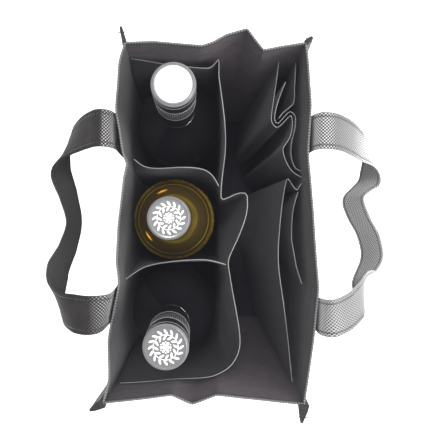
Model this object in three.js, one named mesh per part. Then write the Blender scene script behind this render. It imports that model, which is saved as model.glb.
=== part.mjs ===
// Six-bottle tote bag of black non-woven fabric, standing open, seen from above in use: three wine
// bottles stand in the left row of pockets and the right row is empty and half collapsed.
// Millimetres, +Z up. The origin is the centre of the base's underside, +Y is the back end of the
// bag and +X its right-hand long side.

import * as THREE from "three";

// Driving dimensions of the bag
const BASE_WIDTH = 164;
const BASE_LENGTH = 272;
const BASE_THICK = 3;
const BAG_HEIGHT = 270;
const POCKET_HEIGHT = 242;
const WALL_THICK = 1.6;
const DIVIDER_THICK = 1.2;
const GAP = 0.35;
const WALL_EASE = 1.6; // how late up the wall the cloth leaves the straight base line for its rim
const DIVIDER_EASE = 3.6;

// Driving dimensions of the handles and corner seams
const STRAP_WIDTH = 27.5;
const STRAP_THICK = 1.6;
const SEAM_FOOT = 6;
const SEAM_RISE = 1.5;

// Driving dimensions of the bottles
const ROUND_STEPS = 32;
const BODY_RADIUS = 37.5;
const GLASS_WALL = 3;
const GLASS_BASE = 6;
const NECK_RADIUS = 13.4;
const CAP_RADIUS = 14.9;
const CAP_INNER_RADIUS = 13.8;
const CAP_LENGTH = 60;
const CAP_TOP_THICK = 0.7;
const CAP_ROUNDING = 1.5;
const CAP_RELIEF = 0.5; // how far its beads stand out
const TOP_BEAD = 6; // the beads' depths below the cap's top
const KNURL_START = 18;
const KNURL_END = 36;

const cloth = new THREE.MeshStandardMaterial({ color: 0x2b2b2e, roughness: 0.8, metalness: 0 });
const strapCloth = new THREE.MeshStandardMaterial({ color: 0x3a3a3b, roughness: 0.65, metalness: 0 });
const darkGlass = new THREE.MeshStandardMaterial({ color: 0x0c0f0b, roughness: 0.08, metalness: 0 });
const amberGlass = new THREE.MeshStandardMaterial({
  color: 0x6e5a16,
  roughness: 0.05,
  metalness: 0,
  transparent: true,
  opacity: 0.5,
});
const wineColour = new THREE.MeshStandardMaterial({ color: 0xc9a83c, roughness: 0.05, metalness: 0 });
const blackCap = new THREE.MeshStandardMaterial({ color: 0x17171a, roughness: 0.35, metalness: 0.6 });
const silverCap = new THREE.MeshStandardMaterial({ color: 0xa9a9ad, roughness: 0.35, metalness: 0.8 });

const bag = new THREE.Group();

function addMesh(name, geometry, material) {
  const mesh = new THREE.Mesh(geometry, material);
  mesh.name = name;
  bag.add(mesh);
}

const mix = (a, b, t) => a + (b - a) * t;
const mixPoint = (a, b, t) => [mix(a[0], b[0], t), mix(a[1], b[1], t)];
const towards = (a, b, distance) => mixPoint(a, b, distance / Math.hypot(b[0] - a[0], b[1] - a[1]));

// Closed geometry from a grid of rows: each row is a loop of points round the section, and the
// first and last rows are capped.
function skinLoops(loops) {
  const round = loops[0].length;
  const position = loops.flat(2);
  const index = [];
  for (let row = 0; row + 1 < loops.length; row++) {
    for (let i = 0; i < round; i++) {
      const a = row * round + i;
      const b = row * round + ((i + 1) % round);
      index.push(a, b, b + round, a, b + round, a + round);
    }
  }
  return { position, index, round, rows: loops.length };
}

function finishGeometry(position, index) {
  const geometry = new THREE.BufferGeometry();
  geometry.setAttribute("position", new THREE.Float32BufferAttribute(position, 3));
  geometry.setIndex(index);
  geometry.computeVertexNormals();
  return geometry;
}

// Normals of a line of [x, y] points, mitred so that an offset keeps its distance. before and after
// are the points next to its two ends, where another line carries on from it.
const LONGEST_MITRE = 1.6;
const LEAST_MITRE_COSINE = 0.2;
function mitredNormals(line, before, after) {
  const unit = (p, q) => {
    const length = Math.hypot(q[0] - p[0], q[1] - p[1]) || 1;
    return [(q[0] - p[0]) / length, (q[1] - p[1]) / length];
  };
  return line.map((point, i) => {
    const previous = i > 0 ? line[i - 1] : before;
    const next = i + 1 < line.length ? line[i + 1] : after;
    const into = previous ? unit(previous, point) : unit(point, next);
    const out = next ? unit(point, next) : into;
    const sum = [into[0] + out[0], into[1] + out[1]];
    const size = Math.hypot(...sum) || 1;
    const along = [sum[0] / size, sum[1] / size];
    const cosine = Math.max(LEAST_MITRE_COSINE, along[0] * out[0] + along[1] * out[1]);
    const stretch = Math.min(LONGEST_MITRE, 1 / cosine);
    return [-along[1] * stretch, along[0] * stretch];
  });
}

// A standing sheet of cloth. Each level gives a height, the line that the sheet follows there and
// that line's mitred normals; the sheet has the same thickness all over.
function standingSheet(levels, thickness) {
  const columns = levels[0].line.length;
  const loops = [];
  for (let column = 0; column < columns; column++) {
    const front = [];
    const back = [];
    for (const { z, line, normals } of levels) {
      const [x, y] = line[column];
      const [nx, ny] = normals[column];
      front.push([x + (nx * thickness) / 2, y + (ny * thickness) / 2, z]);
      back.push([x - (nx * thickness) / 2, y - (ny * thickness) / 2, z]);
    }
    loops.push([...front, ...back.reverse()]);
  }
  const { position, index, round, rows } = skinLoops(loops);
  const half = round / 2;
  for (let i = 0; i + 1 < half; i++) {
    const last = (rows - 1) * round;
    index.push(i + 1, i, round - 1 - i, i + 1, round - 1 - i, round - 2 - i);
    index.push(last + i, last + i + 1, last + round - 1 - i);
    index.push(last + i + 1, last + round - 2 - i, last + round - 1 - i);
  }
  return finishGeometry(position, index);
}

// Points along straight stretches, with extra ones so that no step is longer than the given one.
function straightLine(points, longestStep) {
  const line = [];
  for (let i = 0; i + 1 < points.length; i++) {
    const length = Math.hypot(points[i + 1][0] - points[i][0], points[i + 1][1] - points[i][1]);
    const steps = Math.max(1, Math.ceil(length / longestStep));
    for (let k = 0; k < steps; k++) line.push(mixPoint(points[i], points[i + 1], k / steps));
  }
  line.push(points[points.length - 1]);
  return line;
}

// A smooth line through the points, with the same number of steps between each two.
const STEPS_EACH = 2;
function smoothLine(points) {
  const curve = new THREE.CatmullRomCurve3(
    points.map(([x, y]) => new THREE.Vector3(x, y, 0)),
    false,
    "centripetal",
  );
  return curve.getPoints((points.length - 1) * STEPS_EACH).map((p) => [p.x, p.y]);
}

// Outer walls. Each rim line runs anticlockwise seen from above, from one corner seam to the next;
// the long walls are drawn in where a divider is sewn to them, and the end walls keep the creases
// of a bag that was stored flat.
const RIM_STEP = 22;
const CORNERS = {
  back_left: { rim: [-67, 133], foot: [-BASE_WIDTH / 2, BASE_LENGTH / 2] },
  front_left: { rim: [-83.5, -135], foot: [-BASE_WIDTH / 2, -BASE_LENGTH / 2] },
  front_right: { rim: [66, -136], foot: [BASE_WIDTH / 2, -BASE_LENGTH / 2] },
  back_right: { rim: [67.5, 133], foot: [BASE_WIDTH / 2, BASE_LENGTH / 2] },
};
const WALLS = [
  {
    name: "wall_left",
    from: "back_left",
    to: "front_left",
    between: [
      [-71, 119], [-73.5, 84], [-68.5, 51.5], [-65.5, 43], [-67.5, 33],
      [-71.5, -2], [-73, -30], [-71.5, -46.5], [-79, -87], [-79, -118],
    ],
  },
  {
    name: "wall_front",
    from: "front_left",
    to: "front_right",
    between: [[-48.5, -131], [-32.5, -129], [-17, -135.5], [1, -129], [35, -132.5]],
  },
  {
    name: "wall_right",
    from: "front_right",
    to: "back_right",
    between: [[70.5, -105], [73, -87], [76.5, -50], [74, -15], [72.5, 8], [69, 51], [71, 87], [69, 118]],
  },
  {
    name: "wall_back",
    from: "back_right",
    to: "back_left",
    between: [
      [47, 129.5], [36, 127.5], [29, 136], [23.5, 143], [8, 138.5], [-1, 133.5], [-10, 130.5], [-45, 133.5],
    ],
  },
];

function wallLines({ from, to, between }) {
  const rim = straightLine([CORNERS[from].rim, ...between, CORNERS[to].rim], RIM_STEP);
  let run = 0;
  const runs = rim.map((point, i) => {
    if (i > 0) run += Math.hypot(point[0] - rim[i - 1][0], point[1] - rim[i - 1][1]);
    return run;
  });
  const foot = runs.map((r) => mixPoint(CORNERS[from].foot, CORNERS[to].foot, r / run));
  return { rim, foot };
}

const WALL_HEIGHTS = [0, 0.3, 0.55, 0.75, 0.9, 1];
const footZ = BASE_THICK + GAP;
const wallTable = WALLS.map((wall) => ({ ...wall, ...wallLines(wall) }));

function wallLineAt({ foot, rim }, height) {
  return foot.map((point, i) => mixPoint(point, rim[i], height ** WALL_EASE));
}

wallTable.forEach((wall, w) => {
  const previous = wallTable[(w + 3) % 4];
  const next = wallTable[(w + 1) % 4];
  const levels = WALL_HEIGHTS.map((height) => {
    const line = wallLineAt(wall, height);
    const before = wallLineAt(previous, height).at(-2);
    const normals = mitredNormals(line, before, wallLineAt(next, height)[1]);
    // The two end columns stand back from the corner, which leaves the seam its gap.
    const last = line.length - 1;
    line[0] = towards(line[0], line[1], GAP);
    line[last] = towards(line[last], line[last - 1], GAP);
    return { z: mix(footZ, BAG_HEIGHT, height), line, normals };
  });
  addMesh(wall.name, standingSheet(levels, WALL_THICK), cloth);
});

// Where a wall's middle surface stands at a height: the value on one axis for a place on the other.
function wallPlace(name, z, along, place) {
  const wall = wallTable.find((one) => one.name === name);
  const line = wallLineAt(wall, (z - footZ) / (BAG_HEIGHT - footZ));
  const across = 1 - along;
  for (let i = 0; i + 1 < line.length; i++) {
    const from = line[i];
    const to = line[i + 1];
    const share = (place - from[along]) / (to[along] - from[along]);
    if (share >= 0 && share <= 1) return mix(from[across], to[across], share);
  }
  const offset = (point) => Math.abs(point[along] - place);
  const nearest = offset(line[0]) < offset(line.at(-1)) ? line[0] : line.at(-1);
  return nearest[across];
}

// Keeps a point of a pocket sheet clear of all four walls.
const SPARE = 0.25; // for the slant of the sheets, which their level sections leave out
const WALL_CLEARANCE = WALL_THICK / 2 + DIVIDER_THICK / 2 + GAP + SPARE;
function insideWalls([x, y], z) {
  const keptX = THREE.MathUtils.clamp(
    x,
    wallPlace("wall_left", z, 1, y) + WALL_CLEARANCE,
    wallPlace("wall_right", z, 1, y) - WALL_CLEARANCE,
  );
  const keptY = THREE.MathUtils.clamp(
    y,
    wallPlace("wall_front", z, 0, keptX) + WALL_CLEARANCE,
    wallPlace("wall_back", z, 0, keptX) - WALL_CLEARANCE,
  );
  return [keptX, keptY];
}

// Base: one stiffened panel that all four walls stand on.
const baseOutline = new THREE.Shape();
const baseX = BASE_WIDTH / 2 + WALL_THICK / 2;
const baseY = BASE_LENGTH / 2 + WALL_THICK / 2;
baseOutline.moveTo(-baseX, -baseY);
baseOutline.lineTo(baseX, -baseY);
baseOutline.lineTo(baseX, baseY);
baseOutline.lineTo(-baseX, baseY);
baseOutline.closePath();
const basePanel = new THREE.ExtrudeGeometry(baseOutline, { depth: BASE_THICK, bevelEnabled: false });
addMesh("base_panel", basePanel, cloth);

// Corner seams: the seam allowance stands out from each corner and its end sticks up at the rim.
const SEAM_REACH = {
  back_left: [-2.6, 9.8],
  front_left: [-8, -4.2],
  front_right: [-2, -11.5],
  back_right: [5.2, 4.5],
};
const SEAM_FOOT_REACH = 5;
const SEAM_START = 1.9;
const SEAM_EASE = 4; // how late up the corner the allowance turns to its reach at the rim
Object.entries(SEAM_REACH).forEach(([corner, reach]) => {
  const { rim, foot } = CORNERS[corner];
  const outward = [Math.sign(foot[0]) * Math.SQRT1_2, Math.sign(foot[1]) * Math.SQRT1_2];
  const levels = WALL_HEIGHTS.map((height) => {
    const ease = height ** WALL_EASE;
    const root = mixPoint(foot, rim, ease);
    const arm = [0, 1].map((k) => mix(outward[k] * SEAM_FOOT_REACH, reach[k], height ** SEAM_EASE));
    const size = Math.hypot(...arm);
    const start = mixPoint(root, [root[0] + arm[0], root[1] + arm[1]], SEAM_START / size);
    const tip = [root[0] + arm[0] * (1 + SEAM_START / size), root[1] + arm[1] * (1 + SEAM_START / size)];
    const line = straightLine([start, mixPoint(start, tip, 0.5), tip], size);
    return { z: mix(SEAM_FOOT, BAG_HEIGHT + SEAM_RISE, height), line, normals: mitredNormals(line) };
  });
  addMesh(`seam_${corner}`, standingSheet(levels, DIVIDER_THICK), cloth);
});

// Dividers and pocket fronts. Each follows its top edge through the points, and its foot is the
// same line moved by the row's own rule.
const DIVIDER_HEIGHTS = [0, 0.4, 0.7, 0.86, 1];
function dividerLevels(topPoints, footOf, ease) {
  const top = smoothLine(topPoints);
  const foot = smoothLine(topPoints.map(footOf));
  return DIVIDER_HEIGHTS.map((height) => {
    const z = mix(footZ, POCKET_HEIGHT, height);
    const line = foot.map((point, i) => insideWalls(mixPoint(point, top[i], height ** ease), z));
    return { z, line, normals: mitredNormals(line) };
  });
}

function divider(name, topPoints, footOf, ease = DIVIDER_EASE) {
  addMesh(name, standingSheet(dividerLevels(topPoints, footOf, ease), DIVIDER_THICK), cloth);
}

// A strip that runs past several pockets has one panel for each, parted where the dividers are
// sewn to it. cuts are the indexes of the points where it is parted.
function panels(names, cuts, topPoints, footOf) {
  const levels = dividerLevels(topPoints, footOf, DIVIDER_EASE);
  const ends = [0, ...cuts, topPoints.length - 1].map((i) => i * STEPS_EACH);
  names.forEach((name, n) => {
    const panel = levels.map((level) => {
      const line = level.line.slice(ends[n], ends[n + 1] + 1);
      const last = line.length - 1;
      if (n > 0) line[0] = towards(line[0], line[1], GAP / 2);
      if (n < names.length - 1) line[last] = towards(line[last], line[last - 1], GAP / 2);
      return { z: level.z, line, normals: level.normals.slice(ends[n], ends[n + 1] + 1) };
    });
    addMesh(name, standingSheet(panel, DIVIDER_THICK), cloth);
  });
}

// Reads rows of top x, top y, foot x, foot y.
const pairs = (list) => ({
  tops: list.map(([x, y]) => [x, y]),
  footOf: (point, i) => [list[i][2], list[i][3]],
});

// Left row: the pocket fronts run along the back wall, down the middle of the bag with one slack
// fold beside the middle bottle, and back along the front wall.
const leftFront = pairs([
  [-66, 132, -79.5, 133.6],
  [-50, 129, -52, 133.6],
  [-19, 125, -19, 133.6],
  [-2, 125, -1, 133.6],
  [3.6, 131, 7, 131],
  [4, 119.5, 9.4, 119],
  [7.5, 92.5, 9.6, 98],
  [9.2, 74, 9.6, 79],
  [9.2, 56, 9, 56],
  [6, 27, 8.5, 29],
  [7, 17.5, 8.5, 20],
  [16.5, 21.4, 9, 15],
  [25.4, 22.6, 9.5, 12],
  [26.6, 7, 9.5, 2],
  [18.6, -16, 9, -12],
  [11.8, -32, 8.5, -34],
  [12.6, -41.5, 8.5, -45],
  [16, -62, 8.5, -60],
  [19.3, -80, 8.5, -80],
  [21.2, -98, 8.5, -96],
  [19, -109, 8.5, -110],
  [12, -119, 8, -124],
  [-1.6, -126, 0, -131],
  [-15, -127.6, -14, -132],
  [-50, -130, -50, -132.4],
  [-75, -131.5, -79, -132.6],
]);
const BACK_DIVIDER_AT = 9;
const FRONT_DIVIDER_AT = 15;
panels(
  ["pocket_front_left_back", "pocket_front_left_middle", "pocket_front_left_front"],
  [BACK_DIVIDER_AT, FRONT_DIVIDER_AT],
  leftFront.tops,
  leftFront.footOf,
);

const leftBackDivider = pairs([
  [-64, 49.5, -79.8, 42],
  [-57.5, 44.8, -62, 42],
  [-48.5, 42.8, -48, 41.8],
  [-27.5, 43.6, -28, 41.6],
  [-14, 43, -14, 41.4],
  [-6.4, 41, -5, 39.6],
  [-0.8, 36.4, 1.6, 37],
  [3.6, 29, 6.4, 33],
]);
divider("divider_left_back", leftBackDivider.tops, leftBackDivider.footOf);

const leftFrontDivider = pairs([
  [-70.5, -46.5, -79.8, -44],
  [-57.5, -38, -62, -43.2],
  [-41, -33.8, -42, -42.8],
  [-20, -31.6, -20, -42.8],
  [-4, -31.8, -6, -43.2],
  [8.6, -35, 6.4, -44],
]);
divider("divider_left_front", leftFrontDivider.tops, leftFrontDivider.footOf);

// Right row: nothing fills it, so its fronts and dividers lie folded towards the right wall. Their
// feet lean into the bag near the middle and out to the wall where they are sewn to it.
const LEAN_IN = -9;
const LEAN_OUT = 9.4;
const LEAN_FROM_X = 53;
const LEAN_TO_X = 71;
function rightFoot([x, y]) {
  const share = THREE.MathUtils.clamp((x - LEAN_FROM_X) / (LEAN_TO_X - LEAN_FROM_X), 0, 1);
  return [x + mix(LEAN_IN, LEAN_OUT, share), y];
}
const RIGHT_EASE = 1.3;

divider(
  "pocket_front_right_back",
  [
    [52.5, 128], [50.8, 114.5], [47.6, 92], [46.8, 81], [51, 76], [57.8, 81.5], [62.6, 85.6],
    [63.6, 77.5], [61, 66.5], [56.2, 59], [58, 50], [63.5, 40.5], [70.4, 36],
  ],
  rightFoot,
  RIGHT_EASE,
);
divider(
  "divider_right_back",
  [
    [57.8, 112], [53.4, 101], [50.2, 90], [49.4, 82], [51.6, 79.2], [56.6, 84], [62, 88.8],
    [65.8, 85.4], [65.6, 74.5], [63, 63.4], [62.8, 52], [66.6, 42.6], [70.8, 41],
  ],
  rightFoot,
  RIGHT_EASE,
);
divider(
  "pocket_end_right_back",
  [[66.4, 128], [66, 118], [65.4, 106], [64.6, 95.6], [60, 91.2], [56.2, 88], [53.4, 84.4]],
  rightFoot,
  RIGHT_EASE,
);
divider(
  "pocket_front_right_front",
  [
    [70.6, 30], [67.4, 25.2], [63.2, 30], [59.8, 34.4], [56.4, 20], [54.4, 5], [52.2, -24],
    [52.8, -40], [56.4, -66], [59.5, -91], [62, -116], [63.4, -130],
  ],
  rightFoot,
  RIGHT_EASE,
);
divider(
  "divider_right_front",
  [[68, 22.5], [64.6, 10.6], [63, -8], [63.2, -16], [65, -26], [67.2, -38], [71, -50]],
  rightFoot,
  RIGHT_EASE,
);

// Handles: one flat strap each, sewn to the outside of the long wall at two places. It bends out
// over the rim, twists on to its edge and sags between the two ends. Columns: centre x, y, z and
// the direction across the strap.
const STRAP_STEPS_EACH = 4;
const LEFT_HANDLE = [
  [-77.8, 68.5, 222, 0, 1, 0],
  [-76.4, 68.5, 246, 0, 1, 0],
  [-75.8, 68.5, 264, 0, 1, 0],
  [-80, 68.6, 274.5, 0, 1, 0],
  [-88, 68.8, 274, 0.03, 1, 0],
  [-96, 68.2, 267, 0, 0.99, -0.05],
  [-104, 66.8, 259, 0, 0.98, -0.15],
  [-113, 64, 249, 0.05, 0.92, -0.35],
  [-122, 57.5, 239, 0.15, 0.7, -0.65],
  [-129, 44, 228, 0.28, 0.25, -0.92],
  [-127, 22, 213, 0.25, 0.03, -0.96],
  [-124, -1, 207, 0.2, 0, -0.98],
  [-127, -22, 213, 0.25, -0.03, -0.96],
  [-131, -42, 228, 0.3, -0.2, -0.93],
  [-126, -57, 249, 0.2, -0.65, -0.7],
  [-115, -64.5, 269, 0.05, -0.92, -0.35],
  [-101, -65.5, 283, -0.04, -1, 0],
  [-89, -65.5, 288.5, -0.1, -1, 0],
  [-80.6, -65.3, 284, -0.18, -0.98, 0],
  [-78.6, -65.2, 266, -0.18, -0.98, 0],
  [-79.6, -65.2, 246, -0.16, -0.98, 0],
  [-80.8, -65.2, 222, -0.12, -0.99, 0],
];
const RIGHT_HANDLE = [
  [77.2, 67.2, 222, 0, 1, 0],
  [75.4, 67.2, 246, 0, 1, 0],
  [74.8, 67.2, 264, 0, 1, 0],
  [79, 67.2, 273, 0, 1, 0],
  [88, 66.8, 272, 0, 1, 0],
  [97, 66.3, 265, 0.1, 0.98, -0.1],
  [107, 64.3, 256, 0.2, 0.95, -0.2],
  [118, 60, 246, 0.3, 0.85, -0.4],
  [129, 50, 236, 0, 0.5, -0.85],
  [132.5, 35, 226, -0.33, 0.1, -0.93],
  [120.5, 19, 222, -0.35, -0.1, -0.93],
  [124, 5, 222, -0.35, 0, -0.93],
  [133, -14, 223, -0.35, 0, -0.94],
  [134.5, -31, 226, -0.3, 0, -0.94],
  [124, -47, 235, -0.28, -0.28, -0.92],
  [118.5, -55, 250, 0.3, -0.6, -0.7],
  [109.5, -61.5, 264, 0.4, -0.85, -0.3],
  [97, -67.6, 273, 0.1, -0.99, -0.05],
  [85, -70.5, 277, 0, -1, 0],
  [79.2, -71, 270, 0, -1, 0],
  [79.2, -71, 248, 0, -1, 0],
  [80.2, -71, 222, 0, -1, 0],
];

function strap(name, stations) {
  const places = stations.map(([x, y, z]) => new THREE.Vector3(x, y, z));
  const centre = new THREE.CatmullRomCurve3(places, false, "centripetal");
  const steps = (stations.length - 1) * STRAP_STEPS_EACH;
  const loops = [];
  for (let i = 0; i <= steps; i++) {
    const share = i / steps;
    const place = share * (stations.length - 1);
    const low = Math.min(Math.floor(place), stations.length - 2);
    const blended = [3, 4, 5].map((k) => mix(stations[low][k], stations[low + 1][k], place - low));
    const tangent = centre.getTangent(share);
    const across = new THREE.Vector3(...blended).projectOnPlane(tangent).normalize();
    const normal = new THREE.Vector3().crossVectors(tangent, across).normalize();
    const corner = (side, face) => {
      const point = centre.getPoint(share).addScaledVector(across, (side * STRAP_WIDTH) / 2);
      return point.addScaledVector(normal, (face * STRAP_THICK) / 2);
    };
    loops.push([corner(-1, -1), corner(1, -1), corner(1, 1), corner(-1, 1)].map((p) => p.toArray()));
  }
  const { position, index, round, rows } = skinLoops(loops);
  const last = (rows - 1) * round;
  index.push(0, 2, 1, 0, 3, 2);
  index.push(last, last + 1, last + 2, last, last + 2, last + 3);
  addMesh(name, finishGeometry(position, index), strapCloth);
}
strap("handle_left", LEFT_HANDLE);
strap("handle_right", RIGHT_HANDLE);

// Bottles. The body is straight up to the shoulder, which runs into the neck in one S-curve.
const BOTTLES = [
  { name: "back", foot: [-35, 85.4], cap: [-28.4, 88.9], height: 308, shoulder: 190, neck: 240 },
  { name: "middle", foot: [-40, -1.7], cap: [-32.4, 2.7], height: 295, shoulder: 184, neck: 231, clear: true },
  { name: "front", foot: [-37, -82], cap: [-33, -78.9], height: 313, shoulder: 195, neck: 245 },
];
const HEEL = 5;
const ARC_MIDDLE = 0.3; // where a rounded edge's middle point lies, as a share of its radius
const WINE_BELOW_CAP = 2;
const SHOULDER_STEPS = 7;
const SHOULDER_BIAS = 1.35; // above 1, so the shoulder stays full before it turns in

function shoulderPoints({ shoulder, neck }, inset) {
  return Array.from({ length: SHOULDER_STEPS + 1 }, (_, i) => {
    const share = i / SHOULDER_STEPS;
    const fall = (1 + Math.cos(Math.PI * share ** SHOULDER_BIAS)) / 2;
    return [mix(NECK_RADIUS, BODY_RADIUS, fall) - inset, mix(shoulder, neck, share)];
  });
}

// Turns a closed profile of [radius, height] points about the bottle's own axis, which leans a
// little from its foot to its cap, and sets its heel down just clear of the base.
function turned(profile, { foot, cap, height }) {
  const outline = profile.map(([r, h]) => new THREE.Vector2(r, h));
  const geometry = new THREE.LatheGeometry(outline, ROUND_STEPS);
  geometry.rotateX(Math.PI / 2);
  const axis = new THREE.Vector3(cap[0] - foot[0], cap[1] - foot[1], height).normalize();
  geometry.applyQuaternion(new THREE.Quaternion().setFromUnitVectors(new THREE.Vector3(0, 0, 1), axis));
  geometry.translate(foot[0], foot[1], footZ + (BODY_RADIUS - HEEL) * Math.hypot(axis.x, axis.y));
  return geometry;
}

const outerGlass = (bottle) => [
  [0, 0],
  [BODY_RADIUS - HEEL, 0],
  [BODY_RADIUS - HEEL * ARC_MIDDLE, HEEL * ARC_MIDDLE],
  [BODY_RADIUS, HEEL],
  ...shoulderPoints(bottle, 0),
  [NECK_RADIUS, bottle.height - CAP_TOP_THICK - GAP],
];

function addBottle(bottle) {
  const { name, height } = bottle;
  const mouthZ = height - CAP_TOP_THICK - GAP;
  if (bottle.clear) {
    const innerRadius = BODY_RADIUS - GLASS_WALL;
    const inner = [...shoulderPoints(bottle, GLASS_WALL)].reverse();
    const glass = [
      ...outerGlass(bottle),
      [NECK_RADIUS - GLASS_WALL, mouthZ],
      ...inner,
      [innerRadius, GLASS_BASE + HEEL],
      [innerRadius - HEEL, GLASS_BASE],
      [0, GLASS_BASE],
    ];
    addMesh(`bottle_${name}`, turned(glass, bottle), amberGlass);
    const fillZ = height - CAP_LENGTH - WINE_BELOW_CAP;
    const wine = [
      [0, GLASS_BASE + GAP],
      [innerRadius - HEEL, GLASS_BASE + GAP],
      [innerRadius - GAP, GLASS_BASE + HEEL + GAP],
      ...shoulderPoints(bottle, GLASS_WALL + GAP),
      [NECK_RADIUS - GLASS_WALL - GAP, fillZ],
      [0, fillZ],
    ];
    addMesh(`wine_${name}`, turned(wine, bottle), wineColour);
  } else {
    addMesh(`bottle_${name}`, turned([...outerGlass(bottle), [0, mouthZ]], bottle), darkGlass);
  }
  // The screw cap's long skirt has a ring bead near the top, a knurled band between two more, and
  // a plain lower end.
  const profile = [
    [CAP_RADIUS - CAP_RELIEF, CAP_LENGTH],
    [CAP_RADIUS - CAP_RELIEF, KNURL_END + CAP_RELIEF],
    [CAP_RADIUS, KNURL_END],
    [CAP_RADIUS - CAP_RELIEF, KNURL_END - 2 * CAP_RELIEF],
    [CAP_RADIUS - CAP_RELIEF, KNURL_START + 2 * CAP_RELIEF],
    [CAP_RADIUS, KNURL_START],
    [CAP_RADIUS - CAP_RELIEF, KNURL_START - CAP_RELIEF],
    [CAP_RADIUS - CAP_RELIEF, TOP_BEAD + CAP_RELIEF],
    [CAP_RADIUS, TOP_BEAD],
    [CAP_RADIUS, CAP_ROUNDING],
    [CAP_RADIUS - CAP_ROUNDING * ARC_MIDDLE, CAP_ROUNDING * ARC_MIDDLE],
    [CAP_RADIUS - CAP_ROUNDING, 0],
    [0, 0],
  ];
  const cap = [
    [0, height - CAP_TOP_THICK],
    [CAP_INNER_RADIUS, height - CAP_TOP_THICK],
    [CAP_INNER_RADIUS, height - CAP_LENGTH],
    ...profile.map(([r, depth]) => [r, height - depth]),
  ];
  addMesh(`cap_${name}`, turned(cap, bottle), bottle.clear ? silverCap : blackCap);
}
BOTTLES.forEach(addBottle);

export default bag;
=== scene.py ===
# %% [markdown]
# This lesson dresses a six-bottle tote bag: an open carrier of black non-woven cloth, seen from
# above, with three screw-cap wine bottles in its left row of pockets and nothing in its right row.
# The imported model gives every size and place. Blender adds what it leaves out: thin cloth with
# folds, hems and stitches, glass that light passes through, and the metal of the caps.

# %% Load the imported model
import math

import bmesh
import bpy
import numpy as np
from mathutils import Matrix, Vector, noise


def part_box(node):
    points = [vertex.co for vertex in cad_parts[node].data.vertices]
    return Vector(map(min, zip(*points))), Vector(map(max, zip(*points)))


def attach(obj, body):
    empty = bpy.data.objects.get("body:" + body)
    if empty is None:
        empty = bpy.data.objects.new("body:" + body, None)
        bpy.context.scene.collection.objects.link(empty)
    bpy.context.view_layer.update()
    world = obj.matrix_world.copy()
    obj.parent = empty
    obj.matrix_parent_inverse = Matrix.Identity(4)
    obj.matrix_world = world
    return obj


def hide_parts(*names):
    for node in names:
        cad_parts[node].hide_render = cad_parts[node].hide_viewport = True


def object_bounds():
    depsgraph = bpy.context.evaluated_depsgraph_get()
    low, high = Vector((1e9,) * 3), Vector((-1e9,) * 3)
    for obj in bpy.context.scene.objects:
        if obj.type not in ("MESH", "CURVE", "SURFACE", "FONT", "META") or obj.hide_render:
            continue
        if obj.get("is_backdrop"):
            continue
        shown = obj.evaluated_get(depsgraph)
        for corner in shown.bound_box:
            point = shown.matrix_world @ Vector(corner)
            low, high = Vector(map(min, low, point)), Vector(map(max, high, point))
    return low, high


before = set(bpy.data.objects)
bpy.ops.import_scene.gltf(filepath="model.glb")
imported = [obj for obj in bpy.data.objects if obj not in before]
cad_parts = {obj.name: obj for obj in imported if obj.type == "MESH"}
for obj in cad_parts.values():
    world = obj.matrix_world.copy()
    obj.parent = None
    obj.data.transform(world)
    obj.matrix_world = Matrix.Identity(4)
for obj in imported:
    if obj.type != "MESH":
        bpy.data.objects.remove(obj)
cad_low, cad_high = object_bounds()
MM = 0.001
print("The packed model is", [round(side / MM) for side in cad_high - cad_low], "mm")

# %% [markdown]
# The photograph was taken from straight above, close to the bag, so the rim looks wider than the
# base. A real camera at a real height gives that perspective. The point straight below the lens
# isn't the middle of the picture, and the lens shift puts it back there without tilting the view.

# %% Place the camera
PICTURE_SIDE = 430  # pixels
FOCAL_LENGTH = 414  # pixels
STRAIGHT_BELOW = (200, 216)  # the pixel straight below the lens
CAMERA_PLACE = Vector((-11.3, 4.1, 578)) * MM
SENSOR_SIDE = 36

camera_data = bpy.data.cameras.new("camera")
camera_data.sensor_width = SENSOR_SIDE
camera_data.lens = SENSOR_SIDE * FOCAL_LENGTH / PICTURE_SIDE
camera_data.shift_x = (PICTURE_SIDE / 2 - STRAIGHT_BELOW[0]) / PICTURE_SIDE
camera_data.shift_y = (STRAIGHT_BELOW[1] - PICTURE_SIDE / 2) / PICTURE_SIDE
camera_data.clip_start = 10 * MM
camera = bpy.data.objects.new("camera", camera_data)
camera.location = CAMERA_PLACE
bpy.context.scene.collection.objects.link(camera)
bpy.context.scene.camera = camera
print(f"The lens is {camera_data.lens:.1f} mm and {CAMERA_PLACE.z / MM:.0f} mm above the floor")

# %% [markdown]
# Materials are built from nodes. These helpers add one node each, set its options, and join or
# set its inputs, so that each material below reads as a short list of what it is made of.

# %% Helpers for nodes
def wire(tree, node, inputs):
    """Joins or sets a node's inputs, from (socket, value) pairs. A value may be a node's output."""
    for name, value in inputs:
        socket = node.inputs[name]
        if isinstance(value, bpy.types.NodeSocket):
            tree.links.new(value, socket)
        else:
            socket.default_value = (*value, 1) if socket.type == "RGBA" else value
    return node


def add_node(tree, kind, inputs=(), **options):
    """Adds a shader node with its options and inputs."""
    node = tree.nodes.new("ShaderNode" + kind)
    for option, value in options.items():
        setattr(node, option, value)
    return wire(tree, node, inputs)


def calculate(tree, operation, *values, clamp=False):
    """The output of a Math node."""
    return add_node(tree, "Math", enumerate(values), operation=operation, use_clamp=clamp).outputs[0]


def map_range(tree, value, start, stop, low=0.0, high=1.0, smooth=False):
    """A number that is low where the value is start, and high where it is stop."""
    inputs = [("Value", value), ("From Min", start), ("From Max", stop), ("To Min", low), ("To Max", high)]
    kind = "SMOOTHSTEP" if smooth else "LINEAR"
    return add_node(tree, "MapRange", inputs, interpolation_type=kind).outputs[0]


def blend_colour(tree, factor, first, second):
    """The output of a colour mix."""
    node = add_node(tree, "Mix", data_type="RGBA")
    shown = [index for index, socket in enumerate(node.inputs) if socket.enabled]
    wire(tree, node, zip(shown, (factor, first, second)))
    return next(socket for socket in node.outputs if socket.enabled)


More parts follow.
